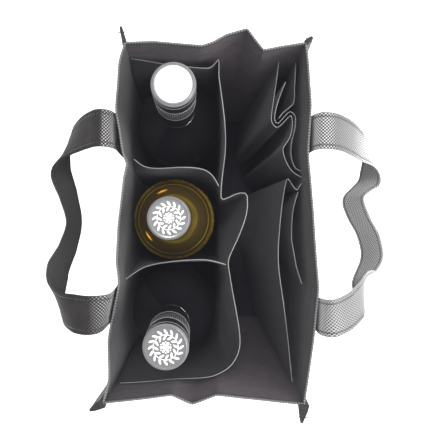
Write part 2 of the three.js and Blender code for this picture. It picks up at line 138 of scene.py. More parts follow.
def colour_ramp(tree, value, stops):
    """The output of a colour ramp, from (position, colour) stops."""
    ramp = add_node(tree, "ValToRGB", [("Fac", value)])
    while len(ramp.color_ramp.elements) < len(stops):
        ramp.color_ramp.elements.new(0.5)
    for element, (position, colour) in zip(ramp.color_ramp.elements, stops):
        element.position = position
        element.color = (*colour, 1)
    return ramp.outputs[0]


print("Node helpers are ready")

# %% [markdown]
# A pattern is read at a place: on the object, or in a sheet's own UV map, where it follows the
# folds. What several materials share goes into a group with named inputs and outputs.

# %% Helpers for textures, groups and materials
def object_place(tree):
    """The place on the object, in metres."""
    return add_node(tree, "TexCoord").outputs["Object"]


def map_place(tree, name):
    """The place in one of the piece's UV maps, in metres."""
    return add_node(tree, "UVMap", uv_map=name).outputs[0]


def split(tree, vector):
    """The three numbers of a vector."""
    return add_node(tree, "SeparateXYZ", [(0, vector)]).outputs


def noise_texture(tree, place, scale, detail):
    """Grey noise; the scale is about how many patches fit in a metre."""
    inputs = [("Vector", place), ("Scale", scale), ("Detail", detail)]
    return add_node(tree, "TexNoise", inputs).outputs["Fac"]


def bump(tree, height, distance):
    """The normal of a surface with the given relief."""
    return add_node(tree, "Bump", [("Height", height), ("Distance", distance)]).outputs[0]


def new_group(name, place, numbers, results):
    """An empty shader group; gives the group, its inputs and its output node."""
    group = bpy.data.node_groups.new(name, "ShaderNodeTree")
    group.interface.new_socket(place, in_out="INPUT", socket_type="NodeSocketVector")
    for socket, value in numbers.items():
        made = group.interface.new_socket(socket, in_out="INPUT", socket_type="NodeSocketFloat")
        made.default_value = value
    for socket in results:
        group.interface.new_socket(socket, in_out="OUTPUT", socket_type="NodeSocketFloat")
    return group, group.nodes.new("NodeGroupInput").outputs, group.nodes.new("NodeGroupOutput")


def use_group(tree, group, inputs):
    """A group placed in a material; gives its outputs."""
    return add_node(tree, "Group", inputs, node_tree=group).outputs


def new_material(name):
    """A material with a Principled shader; gives the material, its tree and the shader."""
    material = bpy.data.materials.new(name)
    material.use_nodes = True
    return material, material.node_tree, material.node_tree.nodes["Principled BSDF"]


print("Texture helpers are ready")

# %% [markdown]
# Non-woven cloth is a felt of plastic fibres, bonded by a hot roller that presses a grid of small
# diamonds into it. The diamonds are smooth and a little sunk; between them the fibres stand up
# and look cloudy. Several cloths use the same effect, so it is one group. It works in the flat
# cloth's own coordinates, in metres, which every sheet below carries as its UV map.

# %% The embossed cloth group
DIAMOND_EDGE = (0.62, 0.22)  # how far the cloth is pressed in: at a diamond's edge, and on a ridge
CROSSING_EDGE = (0.3, 0.75)
FIBRES, CLOUDS = 2600, 130  # in a metre

embossed, given, made = new_group(
    "embossed_cloth", "Flat place", {"Pitch": 1.7 * MM}, ("Ridge", "Crossing", "Cloud", "Height")
)
along, below, _ = split(embossed, given["Flat place"])
diagonals = []
for operation in ("ADD", "SUBTRACT"):
    turns = calculate(embossed, "DIVIDE", calculate(embossed, operation, along, below), given["Pitch"])
    wave = calculate(embossed, "SINE", calculate(embossed, "MULTIPLY", turns, math.pi))
    diagonals.append(calculate(embossed, "MULTIPLY", wave, wave))
ridge = map_range(embossed, calculate(embossed, "MULTIPLY", *diagonals), *DIAMOND_EDGE, smooth=True)
off_ridge = [calculate(embossed, "SUBTRACT", 1.0, diagonal) for diagonal in diagonals]
crossing = map_range(embossed, calculate(embossed, "MULTIPLY", *off_ridge), *CROSSING_EDGE, smooth=True)
cloud = noise_texture(embossed, given["Flat place"], CLOUDS, 4)
fuzz = calculate(embossed, "MULTIPLY", noise_texture(embossed, given["Flat place"], FIBRES, 2), 0.5)
height = calculate(embossed, "ADD", ridge, fuzz)
wire(embossed, made, [("Ridge", ridge), ("Crossing", crossing), ("Cloud", cloud), ("Height", height)])
print("embossed_cloth puts out", [socket.name for socket in made.inputs if socket.name])

# %% [markdown]
# Handled edges of dark cloth go pale, partly from wear, as the cut fibres are fused and dusty, and partly as
# a painted highlight where the fold catches the light. In the flat coordinates the second number is the
# distance below the top edge, so the mask for the pale edge is that distance with some noise on it. A beaded
# line along it stands for the embossing, which breaks the highlight into dots.

# %% The worn and lit edge group
worn_and_lit_edge, given, made = new_group(
    "worn_and_lit_edge", "Flat place", {"Reach": 1 * MM, "Bead pitch": 2.4 * MM}, ("Mask",)
)
along, below, _ = split(worn_and_lit_edge, given["Flat place"])
turns = calculate(worn_and_lit_edge, "DIVIDE", along, given["Bead pitch"])
beads = calculate(worn_and_lit_edge, "SINE", calculate(worn_and_lit_edge, "MULTIPLY", turns, math.tau))
beads = calculate(worn_and_lit_edge, "MULTIPLY_ADD", beads, 0.4, 0.6)
fray = noise_texture(worn_and_lit_edge, given["Flat place"], 900, 2)
ragged = calculate(worn_and_lit_edge, "MULTIPLY", given["Reach"], fray)
ragged = calculate(worn_and_lit_edge, "MULTIPLY", ragged, 2.0)
near_edge = map_range(worn_and_lit_edge, below, ragged, 0.0, smooth=True)
wire(worn_and_lit_edge, made, [("Mask", calculate(worn_and_lit_edge, "MULTIPLY", near_edge, beads))])
print("worn_and_lit_edge puts out", [socket.name for socket in made.inputs if socket.name])

# %% [markdown]
# A strap's ridges and their crossings are paler in places, partly from wear and partly as painted light. A
# ramp says how pale they are at each distance along it: near its ends the crossings are palest, a painted
# highlight where the strap arches over the rim, and the right strap is pale on all its ridges too, painted
# light for the lamp on its side. A darker groove, painted shade, runs where each long edge is stitched.

# %% How a strap is worn and lit
RAMP_LONG = 400 * MM  # the length of strap that the ramp covers
OFF_EDGE = 1.0  # metres added to the flat place of a piece with no worn edge
GROOVE_OUT = 10.55 * MM  # from the strap's middle
GROOVE_SIDE = (0.9 * MM, 0.3 * MM)
LIT_AND_RUBBED_STOPS = {  # mm along the strap, share on ridges, share on crossings
    "handle_left": [
        (0, 0.02, 0.1), (38, 0.04, 0.3), (46, 0.1, 0.8), (51, 0.06, 0.52), (56, 0.05, 0.5),
        (58, 0.01, 0), (110, 0, 0), (150, 0.1, 0), (240, 0.1, 0), (280, 0, 0), (314, 0.01, 0),
        (320, 0.06, 0.22), (328, 0.13, 0.6), (334, 0.3, 1), (342, 0.3, 1), (346, 0.04, 0.3),
    ],
    "handle_right": [
        (0, 0.03, 0.1), (38, 0.1, 0.3), (45, 0.6, 0.4), (51, 0.24, 0.5), (60, 0.17, 0.4),
        (63, 0.2, 0.1), (66, 0.21, 0), (86, 0.3, 0), (110, 0.64, 0), (230, 0.7, 0), (262, 0.32, 0),
        (290, 0.3, 0), (295, 0.3, 0.12), (305, 0.36, 0.16), (311, 0.6, 0.2), (320, 0.1, 0.2),
        (357, 0.03, 0.1),
    ],
}


def lit_and_rubbed_share(tree, place, weave, stops):
    """How pale a strap is, from wear and painted light, from the stops of its ramp."""
    ramp_stops = [(at * MM / RAMP_LONG, (ridges, crossings, 0)) for at, ridges, crossings in stops]
    ramp = colour_ramp(tree, calculate(tree, "DIVIDE", split(tree, place)[0], RAMP_LONG), ramp_stops)
    shares = add_node(tree, "SeparateColor", [(0, ramp)]).outputs
    ridges = calculate(tree, "MULTIPLY", shares[0], weave["Ridge"])
    crossings = calculate(tree, "MULTIPLY", shares[1], weave["Crossing"])
    return calculate(tree, "ADD", ridges, crossings, clamp=True)


def groove_shade_share(tree, place):
    """1 in the stitched grooves of a strap, which run a little way in from both long edges; there the colour
    is darkened as painted shade.
    """
    from_middle = calculate(tree, "ABSOLUTE", calculate(tree, "SUBTRACT", split(tree, place)[1], OFF_EDGE))
    off = calculate(tree, "ABSOLUTE", calculate(tree, "SUBTRACT", from_middle, GROOVE_OUT))
    return map_range(tree, off, *GROOVE_SIDE, smooth=True)


print("The straps' ramps have", [len(stops) for stops in LIT_AND_RUBBED_STOPS.values()], "stops")

# %% [markdown]
# One function makes every cloth: its colour varies between the sunk diamonds and the ridges and with the
# cloudy fibres, and the relief goes to a Bump node. Along a fold the ridges are pale, partly from wear and
# partly as a painted highlight. The fibres' soft shine is sheen. The bag's inside walls are lighter than its
# outside, as painted light, and its two end walls are a little browner than the side walls and lighter still.
# The outside and the pockets are darker.

# %% Cloth materials
CLOTH_PITCH = 2.4 * MM
BEAD_PITCH = 2.15 * MM
WALL_TONES = {  # the colour between the ridges, the colour on them, and how pale the fold is, from wear and painted highlight
    "wall_cloth": ((0.034, 0.033, 0.0345), (0.081, 0.0785, 0.082), 0.16),
    "lit_end_wall_cloth": ((0.043, 0.036, 0.041), (0.101, 0.0855, 0.097), 0.17),
    "outside_cloth": ((0.009, 0.0083, 0.0089), (0.024, 0.022, 0.0235), 0.15),
}


def cloth_material(name, dark, light, lit_and_rubbed, depth, roughness, shine, reach=1 * MM, strap=None):
    """Embossed cloth, pale at its fold, or along its length if it is a strap; the paleness is partly wear and
    partly painted light.
    """
    material, tree, shader = new_material(name)
    place = map_place(tree, "flat")
    weave = use_group(tree, embossed, [("Flat place", place), ("Pitch", CLOTH_PITCH)])
    tone = calculate(tree, "MULTIPLY", weave["Ridge"], weave["Cloud"])
    colour = blend_colour(tree, calculate(tree, "MULTIPLY", tone, 1.4, clamp=True), dark, light)
    if strap is None:
        inputs = [("Flat place", place), ("Reach", reach), ("Bead pitch", BEAD_PITCH)]
        # The pale fold is partly wear and partly a painted highlight.
        colour = blend_colour(tree, use_group(tree, worn_and_lit_edge, inputs)["Mask"], colour, lit_and_rubbed)
    else:
        # The strap's pale ridges and crossings are partly wear and partly painted light.
        colour = blend_colour(tree, lit_and_rubbed_share(tree, place, weave, strap), colour, lit_and_rubbed)
        # The stitched groove is darkened as painted shade.
        groove = calculate(tree, "MULTIPLY", groove_shade_share(tree, place), 0.6)
        colour = blend_colour(tree, groove, colour, dark)
    wire(tree, shader, [
        ("Base Color", colour),
        ("Roughness", map_range(tree, weave["Ridge"], 0.0, 1.0, *roughness)),
        ("Normal", bump(tree, weave["Height"], depth)),
        ("Sheen Weight", shine[0]),
        ("Sheen Roughness", 0.4),
        ("Specular IOR Level", shine[1]),
    ])
    return material


# The inside walls are lighter copies of the outside cloth, as painted light; the end walls are lighter still.
wall_cloth, lit_end_wall_cloth, outside_cloth = [
    cloth_material(name, dark, light, (pale,) * 3, 0.12 * MM, roughness=(0.5, 0.8), shine=(0.1, 0.15))
    for name, (dark, light, pale) in WALL_TONES.items()
]
sheet_cloth = cloth_material(
    "sheet_cloth", (0.0125, 0.012, 0.017), (0.026, 0.0253, 0.033), (0.1, 0.1, 0.1),
    depth=0.08 * MM, roughness=(0.55, 0.8), shine=(0.08, 0.2), reach=0.3 * MM,
)
strap_cloths = {
    node: cloth_material(
        node + "_cloth", (0.009, 0.0085, 0.0085), (0.021, 0.019, 0.0185), (0.6, 0.6, 0.605),
        depth=0.25 * MM, roughness=(0.5, 0.45), shine=(0.04, 0.03), strap=stops,
    )
    for node, stops in LIT_AND_RUBBED_STOPS.items()
}
print("Cloths:", *WALL_TONES, sheet_cloth.name, *[cloth.name for cloth in strap_cloths.values()])

# %% [markdown]
# A cut edge of this cloth is a line of fused fibre ends, and it is much paler than its face: partly the fused
# fibres and partly a painted highlight where the edge faces the light. It is a plain material of its own,
# which the cut edges of the sheets get as their second slot. Sewing thread is the other small material here:
# twisted, with a fine diagonal ply.

# %% Cut edge and thread materials
PLIES = 900  # in a metre

cut_edge, tree, shader = new_material("cut_edge")
place = map_place(tree, "flat")
fibres = noise_texture(tree, place, 1500, 2)
dust = noise_texture(tree, place, 16, 1)
beat = calculate(tree, "SINE", calculate(tree, "MULTIPLY", split(tree, place)[0], math.tau / BEAD_PITCH))
beat = calculate(tree, "MULTIPLY_ADD", beat, 0.35, 0.35)
spots = calculate(tree, "ADD", beat, calculate(tree, "MULTIPLY", fibres, 0.5))
dusty = calculate(tree, "MULTIPLY_ADD", map_range(tree, dust, 0.35, 0.55), 0.5, 0.5)
# The pale colour is partly fused fibres and partly painted highlight.
pale = blend_colour(tree, calculate(tree, "MULTIPLY", spots, dusty), (0.03, 0.03, 0.031), (0.26, 0.26, 0.265))
wire(tree, shader, [("Base Color", pale), ("Roughness", 0.6), ("Normal", bump(tree, fibres, 0.1 * MM))])


def thread_material(name, dark, light, roughness, sheen):
    """Sewing thread, darker between its plies."""
    material, tree, shader = new_material(name)
    inputs = [("Vector", object_place(tree)), ("Scale", PLIES), ("Distortion", 1)]
    colour = blend_colour(tree, add_node(tree, "TexWave", inputs).outputs["Fac"], dark, light)
    wire(tree, shader, [("Base Color", colour), ("Roughness", roughness), ("Sheen Weight", sheen)])
    return material


thread = thread_material("thread", (0.018, 0.018, 0.019), (0.05, 0.05, 0.05), 0.45, 0.3)
pale_thread = thread_material("pale_thread", (0.03, 0.028, 0.03), (0.11, 0.105, 0.11), 0.6, 0.0)
print("Small materials:", cut_edge.name, thread.name, pale_thread.name)

# %% [markdown]
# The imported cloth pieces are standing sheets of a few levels. Their shape is read from the frame:
# at each level the edges that lie in it form one loop round the sheet, and the loop's two long
# sides are paired to give the cloth's middle line. Lines that are read this way can be lofted
# again as finely as cloth needs.

# %% Read the cloth's lines from the frame
LEVEL_GAP = 1 * MM


def joined_mesh(node):
    """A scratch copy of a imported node's mesh, with its loose triangles joined at their corners."""
    mesh = bmesh.new()
    mesh.from_mesh(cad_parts[node].data)
    bmesh.ops.remove_doubles(mesh, verts=mesh.verts, dist=0.01 * MM)
    mesh.normal_update()
    return mesh


def split_levels(mesh):
    """The mesh's points in groups of equal height, lowest first."""
    by_height = sorted(mesh.verts, key=lambda v: v.co.z)
    groups = [[by_height[0]]]
    for vert in by_height[1:]:
        if vert.co.z - groups[-1][-1].co.z > LEVEL_GAP:
            groups.append([])
        groups[-1].append(vert)
    return groups


def loop_round(level):
    """The level's points in order round the sheet."""
    inside = set(level)
    beside = {vert: [] for vert in level}
    for vert in level:
        for edge in vert.link_edges:
            upright = any(abs(face.normal.z) < 0.9 for face in edge.link_faces)
            if edge.other_vert(vert) in inside and upright:
                beside[vert].append(edge.other_vert(vert))
    loop, last = [level[0]], None
    while len(loop) < len(level):
        step = next(v for v in beside[loop[-1]] if v is not last)
        last = loop[-1]
        loop.append(step)
    return np.array([v.co.xy for v in loop])


def middle_line(loop):
    """Pairs the loop's two long sides and gives the line between them."""
    count, steps = len(loop), np.arange(len(loop) // 2)
    pairings = [(loop[(s + steps) % count], loop[(s - 1 - steps) % count]) for s in steps]
    widths = [np.linalg.norm(a - b, axis=1).mean() for a, b in pairings]
    a, b = pairings[int(np.argmin(widths))]
    return (a + b) / 2


def cloth_lines(node):
    """Heights of a packed sheet's levels and the cloth's middle line at each, all run one way."""
    mesh = joined_mesh(node)
    groups = split_levels(mesh)
    heights = np.array([np.mean([v.co.z for v in group]) for group in groups])
    lines = [middle_line(loop_round(group)) for group in groups]
    mesh.free()
    for i in range(1, len(lines)):
        to_start, to_end = (np.linalg.norm(lines[i][end] - lines[i - 1][0]) for end in (0, -1))
        if to_start > to_end:
            lines[i] = lines[i][::-1]
    return heights, np.array(lines)


SHEETS = ("wall", "seam", "pocket", "divider")
cloth = {name: cloth_lines(name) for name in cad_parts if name.startswith(SHEETS)}
seams = [name for name in cloth if name.startswith("seam")]
for name, (heights, lines) in cloth.items():
    print(f"{name}: {len(heights)} levels of {lines.shape[1]} points")

# %% [markdown]
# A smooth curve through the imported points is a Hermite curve: at each point it has the slope of
# its neighbours. A tension above 0 flattens the slopes, which keeps a crease where cloth was
# folded. The same function runs up a sheet and along it, which lofts the sheet.

# %% Curves and lofts through points
def through(knots, values, at, tension=0.0):
    """A curve through values at the knots, read at the places at."""
    slopes = np.gradient(values, knots, axis=0) * (1 - tension)
    at = np.clip(at, knots[0], knots[-1])
    low = np.clip(np.searchsorted(knots, at, side="right") - 1, 0, len(knots) - 2)
    span = knots[low + 1] - knots[low]
    t = (at - knots[low]) / span
    shape = (-1,) + (1,) * (values.ndim - 1)
    t, span = t.reshape(shape), span.reshape(shape)
    start = values[low] * (1 + 2 * t) * (1 - t) ** 2 + slopes[low] * span * t * (1 - t) ** 2
    end = values[low + 1] * t * t * (3 - 2 * t) + slopes[low + 1] * span * t * t * (t - 1)
    return start + end


def lofted(heights, lines, rows, knots, columns, tension=0.0):
    """A grid of points on a sheet: its lines are read at the rows, and then at the columns."""
    by_row = through(heights, lines, rows)
    fine = through(knots, by_row.transpose(1, 0, 2), columns, tension).transpose(1, 0, 2)
    tall = np.repeat(rows[:, None, None], fine.shape[1], axis=1)
    return np.concatenate([fine, tall], axis=2)


def run_along(points):
    """Distance along a line of points."""
    steps = np.linalg.norm(np.diff(points, axis=0), axis=1)
    return np.concatenate([[0.0], np.cumsum(steps)])


def unit(vectors):
    """Vectors of length 1 with the same directions."""
    return vectors / np.maximum(np.linalg.norm(vectors, axis=-1, keepdims=True), 1e-12)


test_curve = through(np.arange(3.0), np.array([[0.0], [1.0], [4.0]]), np.array([0.5]))
print("Half way between 0 and 1, on the way to 4:", test_curve[0])

# %% [markdown]
# Every finished piece goes through one function: it is smooth-shaded except at sharp edges, its object ends
# at the origin unturned, it gets its materials, it is told which body it moves with, and the imported nodes
# that it stands for are hidden.

# %% Helpers that finish a piece
SHARP_ANGLE = math.radians(40)


def pick(obj):
    """Makes obj the one selected and active object."""
    bpy.ops.object.select_all(action="DESELECT")
    obj.select_set(True)
    bpy.context.view_layer.objects.active = obj


def apply_modifier(obj, kind, **options):
    """Adds a modifier and applies it."""
    pick(obj)
    modifier = obj.modifiers.new(kind.lower(), kind)
    for option, value in options.items():
        setattr(modifier, option, value)
    bpy.ops.object.modifier_apply(modifier=modifier.name)


def turn_faces_out(obj):
    """Makes every face of a piece point outwards."""
    pick(obj)
    bpy.ops.object.mode_set(mode="EDIT")
    bpy.ops.mesh.select_all(action="SELECT")
    bpy.ops.mesh.normals_make_consistent(inside=False)
    bpy.ops.object.mode_set(mode="OBJECT")


def finish_piece(obj, materials, nodes=(), angle=SHARP_ANGLE):
    """Shades a piece, gives it its materials, and ties it to the frame."""
    pick(obj)
    bpy.ops.object.transform_apply(location=True, rotation=True, scale=True)
    bpy.ops.object.shade_smooth_by_angle(angle=angle)
    slots = obj.data.materials
    while len(slots) > len(materials):
        slots.pop()
    while len(slots) < len(materials):
        slots.append(None)
    for index, material in enumerate(materials):
        slots[index] = material
    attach(obj, "root")
    if nodes:
        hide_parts(*nodes)
    return obj


print("Pieces are sharp above", round(math.degrees(SHARP_ANGLE)), "degrees")

# %% [markdown]
# A sheet is a grid of points with quads between them. It carries its flat coordinates as a UV
# map, so that a pattern follows the cloth round every fold. A ring of cloth closes on itself.

# %% Helpers that make a sheet
SPARE_SLOTS = 3  # empty ones, so that Solidify can give its new faces one of them


def mesh_piece(name, points, faces):
    """A new object from points and faces."""
    mesh = bpy.data.meshes.new(name)
    mesh.from_pydata([tuple(p) for p in points], [], faces)
    mesh.update()
    obj = bpy.data.objects.new(name, mesh)
    bpy.context.scene.collection.objects.link(obj)
    return obj


def grid_quads(rows, columns, ring=False):
    """The faces of a grid of points, row by row."""
    quads = []
    for i in range(rows - 1):
        for j in range(columns if ring else columns - 1):
            k = (j + 1) % columns
            quads.append((i * columns + j, i * columns + k, (i + 1) * columns + k, (i + 1) * columns + j))
    return quads


def run_of_ring(grid, flat):
    """The flat length of a ring of cloth, from its first point round to it again."""
    last_step = np.linalg.norm(grid[-1, 0] - grid[-1, -1])
    return float(flat[-1, -1, 0] + last_step)


def grid_piece(name, grid, flat, ring=False):
    """A sheet from a grid of points, with its flat coordinates as a UV map."""
    columns = grid.shape[1]
    obj = mesh_piece(name, grid.reshape(-1, 3), grid_quads(*grid.shape[:2], ring))
    for _ in range(SPARE_SLOTS):
        obj.data.materials.append(None)
    places = flat.reshape(-1, 2)
    layer = obj.data.uv_layers.new(name="flat")
    round_it = run_of_ring(grid, flat) if ring else 0.0
    for face in obj.data.polygons:
        closing = ring and face.index % columns == columns - 1
        for loop in face.loop_indices:
            vert = obj.data.loops[loop].vertex_index
            u, v = places[vert]
            layer.data[loop].uv = (u + round_it if closing and vert % columns == 0 else u, v)
    return obj


print("Sheets have", SPARE_SLOTS, "spare material slots")

# %% [markdown]
# Stitches, ribs, leaves and dots repeat by the hundred. Each is modelled once with few faces, and
# one object holds all its copies. A copy's place is a matrix: X runs along it and Z away from the
# surface that it sits on.

# %% Helpers for small things that repeat
def take_shape(obj):
    """The points and faces of an object, which is then deleted."""
    mesh = obj.data
    points = np.array([v.co for v in mesh.vertices])
    faces = [tuple(face.vertices) for face in mesh.polygons]
    bpy.data.objects.remove(obj)
    bpy.data.meshes.remove(mesh)
    return points, faces


def small_bead(size, segments=8, rings=5):
    """The shape of a rounded bead of the given full size."""
    bpy.ops.object.select_all(action="DESELECT")
    bpy.ops.mesh.primitive_uv_sphere_add(segments=segments, ring_count=rings, radius=0.5)
    bead = bpy.context.object
    bead.scale = size
    bpy.ops.object.transform_apply(location=False, rotation=False, scale=True)
    return take_shape(bead)


def joined_copies(name, shape, places):
    """One object that holds a copy of the shape at every place."""
    points, faces = shape
    count = len(points)
    turned_points = [points @ np.array(place.to_3x3()).T + np.array(place.translation) for place in places]
    all_faces = [tuple(i + n * count for i in face) for n in range(len(places)) for face in faces]
    return mesh_piece(name, np.concatenate(turned_points), all_faces)


def placed(point, along, up):
    """The place at a point with X along a direction and Z as near as can be to up."""
    x = Vector(along).normalized()
    y = Vector(up).cross(x).normalized()
    return Matrix.Translation(Vector(point)) @ Matrix((x, y, x.cross(y))).transposed().to_4x4()


stitch = small_bead((2.3 * MM, 0.5 * MM, 0.42 * MM))
print("A stitch has", len(stitch[1]), "faces")

# %% [markdown]
# Cloth is never flat. A seeded noise gives soft dents and ripples: one call for every point of a
# grid, with its own size along and up the cloth. The dents are then pushed along the cloth's own
# normal, which comes from the grid.

# %% Dents and ripples
def dents(flat, wide, tall, seed):
    """Noise from -1 to 1 over the flat cloth, in patches of about wide by tall metres."""
    values = [noise.noise(Vector((u / wide, v / tall, seed))) for u, v in flat.reshape(-1, 2)]
    return np.array(values).reshape(flat.shape[:2])


def grid_normals(grid, ring=False):
    """Unit normals of a grid of points, to the right of its columns' direction."""
    if ring:
        along = np.roll(grid, -1, axis=1) - np.roll(grid, 1, axis=1)
    else:
        along = np.gradient(grid, axis=1)
    return unit(np.cross(along, np.gradient(grid, axis=0)))


def pushed(grid, amount, ring=False):
    """The grid with every point moved along its normal."""
    return grid + grid_normals(grid, ring) * amount[..., None]


print("A dent near the origin:", round(noise.noise(Vector((0.3, 0.2, 1.0))), 3))

# %% [markdown]
# The body of the bag is one lofted shell: four walls that start from the straight edges of the
# stiff base and ease out to a rim that is drawn in where dividers are sewn to it, and creased
# where the bag was folded for storage. Its columns come from the four packed walls in turn.

# %% Loft the bag's body
CLOTH_THICK = 0.8 * MM
COLUMN_STEP = 3.2 * MM
ROW_STEP = 4.5 * MM
WALL_TENSION = {"wall_left": 0.15, "wall_front": 0.75, "wall_right": 0.15, "wall_back": 0.75}
base_low, base_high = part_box("base_panel")
rim_z = float(cloth["wall_left"][0][-1])
foot_z = base_low.z + CLOTH_THICK / 2


def wall_columns(rim):
    """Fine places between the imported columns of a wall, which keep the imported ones."""
    places = [0.0]
    for i, length in enumerate(np.linalg.norm(np.diff(rim, axis=0), axis=1)):
        steps = max(2, round(length / COLUMN_STEP))
        places.extend(i + (k + 1) / steps for k in range(steps))
    return np.array(places)


def ordered_walls():
    """The four walls, each starting where the one before it ends."""
    walls, end = [], None
    for name in WALL_TENSION:
        heights, lines = cloth[name]
        first, last = lines[-1][0], lines[-1][-1]
        if end is None:
            backwards = first[1] < last[1]
        else:
            backwards = np.linalg.norm(first - end) > np.linalg.norm(last - end)
        if backwards:
            lines = lines[:, ::-1]
        end = lines[-1][-1]
        walls.append((name, heights, lines))
    return walls


def ring_at(rows):
    """Points of the body at each height: rows of one closed ring of columns."""
    parts = []
    walls = ordered_walls()
    for i, (name, heights, lines) in enumerate(walls):
        lines = lines.copy()
        lines[:, 0] = (lines[:, 0] + walls[i - 1][2][:, -1]) / 2
        lines[:, -1] = (lines[:, -1] + walls[(i + 1) % len(walls)][2][:, 0]) / 2
        knots = np.arange(float(lines.shape[1]))
        wall = lofted(heights, lines, rows, knots, wall_columns(lines[-1]), WALL_TENSION[name])
        parts.append(wall[:, :-1])
    return np.concatenate(parts, axis=1)


body_rows = np.linspace(foot_z, rim_z, round((rim_z - foot_z) / ROW_STEP) + 1)
body_grid = ring_at(body_rows)
body_run = run_along(body_grid[-1])
below_rim = rim_z - body_rows
body_flat = np.dstack(np.meshgrid(body_run, below_rim))
print(f"The body has {len(body_rows)} rows of {len(body_run)} columns, and {body_run[-1]:.3f} m of rim")

# %% [markdown]
# The dents only push outwards, so the pockets inside stay clear, and they fade out at the rim and at the
# foot. A bag that was stored flat keeps a fine horizontal crease half way up. The closed bottom is one face,
# and Solidify gives the whole shell its thickness. The shell needs four materials: one outside, the pale one
# at the cut edge, and one inside, which is lighter than the outside as painted light, and which the two end
# walls then swap for their browner and still lighter one. Solidify can give its new inner faces and its rim a
# slot of their own, and the flat coordinates tell which wall a face belongs to.

# %% Finish the bag's body
DENT_DEEP = 1.8 * MM
CREASE_DOWN, CREASE_WIDE, CREASE_DEEP = 128 * MM, 2.5 * MM, 0.7 * MM
BODY_MATERIALS = [outside_cloth, cut_edge, wall_cloth, lit_end_wall_cloth]
CUT, INSIDE, END_INSIDE = 1, 2, 3  # their slots


def thicken(piece, thickness, inner=0):
    """Gives a sheet its thickness, and its cut edges their slot."""
    apply_modifier(
        piece, "SOLIDIFY", thickness=thickness, offset=0, use_even_offset=True,
        material_offset=inner, material_offset_rim=CUT,
    )


share_up = (body_rows - foot_z) / (rim_z - foot_z)
fade = np.sin(np.pi * share_up)[:, None] ** 0.7
soft = dents(body_flat, 55 * MM, 80 * MM, 1.0) + 0.5 * dents(body_flat, 18 * MM, 45 * MM, 2.0)
crease = np.exp(-(((below_rim[:, None] - CREASE_DOWN) / CREASE_WIDE) ** 2))
outward = fade * (DENT_DEEP * np.clip(soft + 0.35, 0, None)) + CREASE_DEEP * crease
body_points = pushed(body_grid, outward, ring=True)
body = grid_piece("bag_body", body_points, body_flat, ring=True)

pick(body)
bpy.ops.object.mode_set(mode="EDIT")
bpy.ops.mesh.select_mode(type="EDGE")
bpy.ops.mesh.select_all(action="DESELECT")
bpy.ops.object.mode_set(mode="OBJECT")
for edge in body.data.edges:
    edge.select = max(body.data.vertices[i].co.z for i in edge.vertices) < foot_z + ROW_STEP / 2
bpy.ops.object.mode_set(mode="EDIT")
bpy.ops.mesh.edge_face_add()
bpy.ops.mesh.inset(thickness=2 * MM)
bpy.ops.object.mode_set(mode="OBJECT")
turn_faces_out(body)
thicken(body, CLOTH_THICK, inner=INSIDE)
finish_piece(body, BODY_MATERIALS, list(WALL_TENSION))

wall_ends = np.cumsum([len(wall_columns(lines[-1])) - 1 for _, _, lines in ordered_walls()])
wall_ends = np.append(body_run, run_of_ring(body_grid, body_flat))[wall_ends]
flat_map = body.data.uv_layers["flat"].data
for face in body.data.polygons:
    along = sum(flat_map[loop].uv.x for loop in face.loop_indices) / face.loop_total
    wall = list(WALL_TENSION)[min(int(np.searchsorted(wall_ends, along)), 3)]
    if face.material_index == INSIDE and wall in ("wall_front", "wall_back"):
        face.material_index = END_INSIDE
print("bag_body has", len(body.data.polygons), "faces")

# %% [markdown]
# The rim is hemmed: the cloth is folded over and its cut edge sewn down on the outside. The hem
# is a second strip that starts at the inside of the rim, rolls over it and lies on the wall. It
# is lofted round the same ring, each row a little further out than the body.

# %% Fold the hem over the rim
HEM_CLOTH = 0.5 * MM
HEM_ROWS = [  # millimetres below the rim, and out from the middle of the body's cloth
    (1.6, -0.62), (0.3, -0.6), (-0.35, -0.2), (-0.4, 0.35), (0.1, 0.75), (1.5, 0.85),
    (6, 0.9), (12, 0.9), (18, 0.9), (23, 0.9),
]
HEM_DEEP = HEM_ROWS[-1][0] * MM


def body_below_rim(depth):
    """A ring of points on the body at a depth below the rim, and the body's normals there."""
    order = np.argsort(below_rim)
    places = np.interp(max(depth, 0.0), below_rim[order], np.arange(len(order)))
    low = min(int(places), len(order) - 2)
    share = places - low
    grid, normals = body_points[order], grid_normals(body_points, ring=True)[order]
    point = grid[low] * (1 - share) + grid[low + 1] * share
    normal = normals[low] * (1 - share) + normals[low + 1] * share
    return point + np.array([0, 0, max(-depth, 0.0)]), unit(normal)


hem_depths, hem_outs = np.array(HEM_ROWS).T * MM
rings = [body_below_rim(depth) for depth in hem_depths]
hem_grid = np.array([point + normal * out for (point, normal), out in zip(rings, hem_outs)])[::-1]
hem_flat = np.dstack(np.meshgrid(body_run, np.clip(hem_depths, 0, None)[::-1]))
hem = grid_piece("rim_hem", hem_grid, hem_flat, ring=True)
thicken(hem, HEM_CLOTH)
finish_piece(hem, [outside_cloth, cut_edge])
print("rim_hem is", round(HEM_DEEP / MM), "mm deep, folded over", round(body_run[-1], 3), "m of rim")

# %% [markdown]
# The base is stiffened with a loose board under the pockets. It starts as a cube at the packed
# panel's size, gets its corners and edges bevelled as cut board has, and lies inside the body.

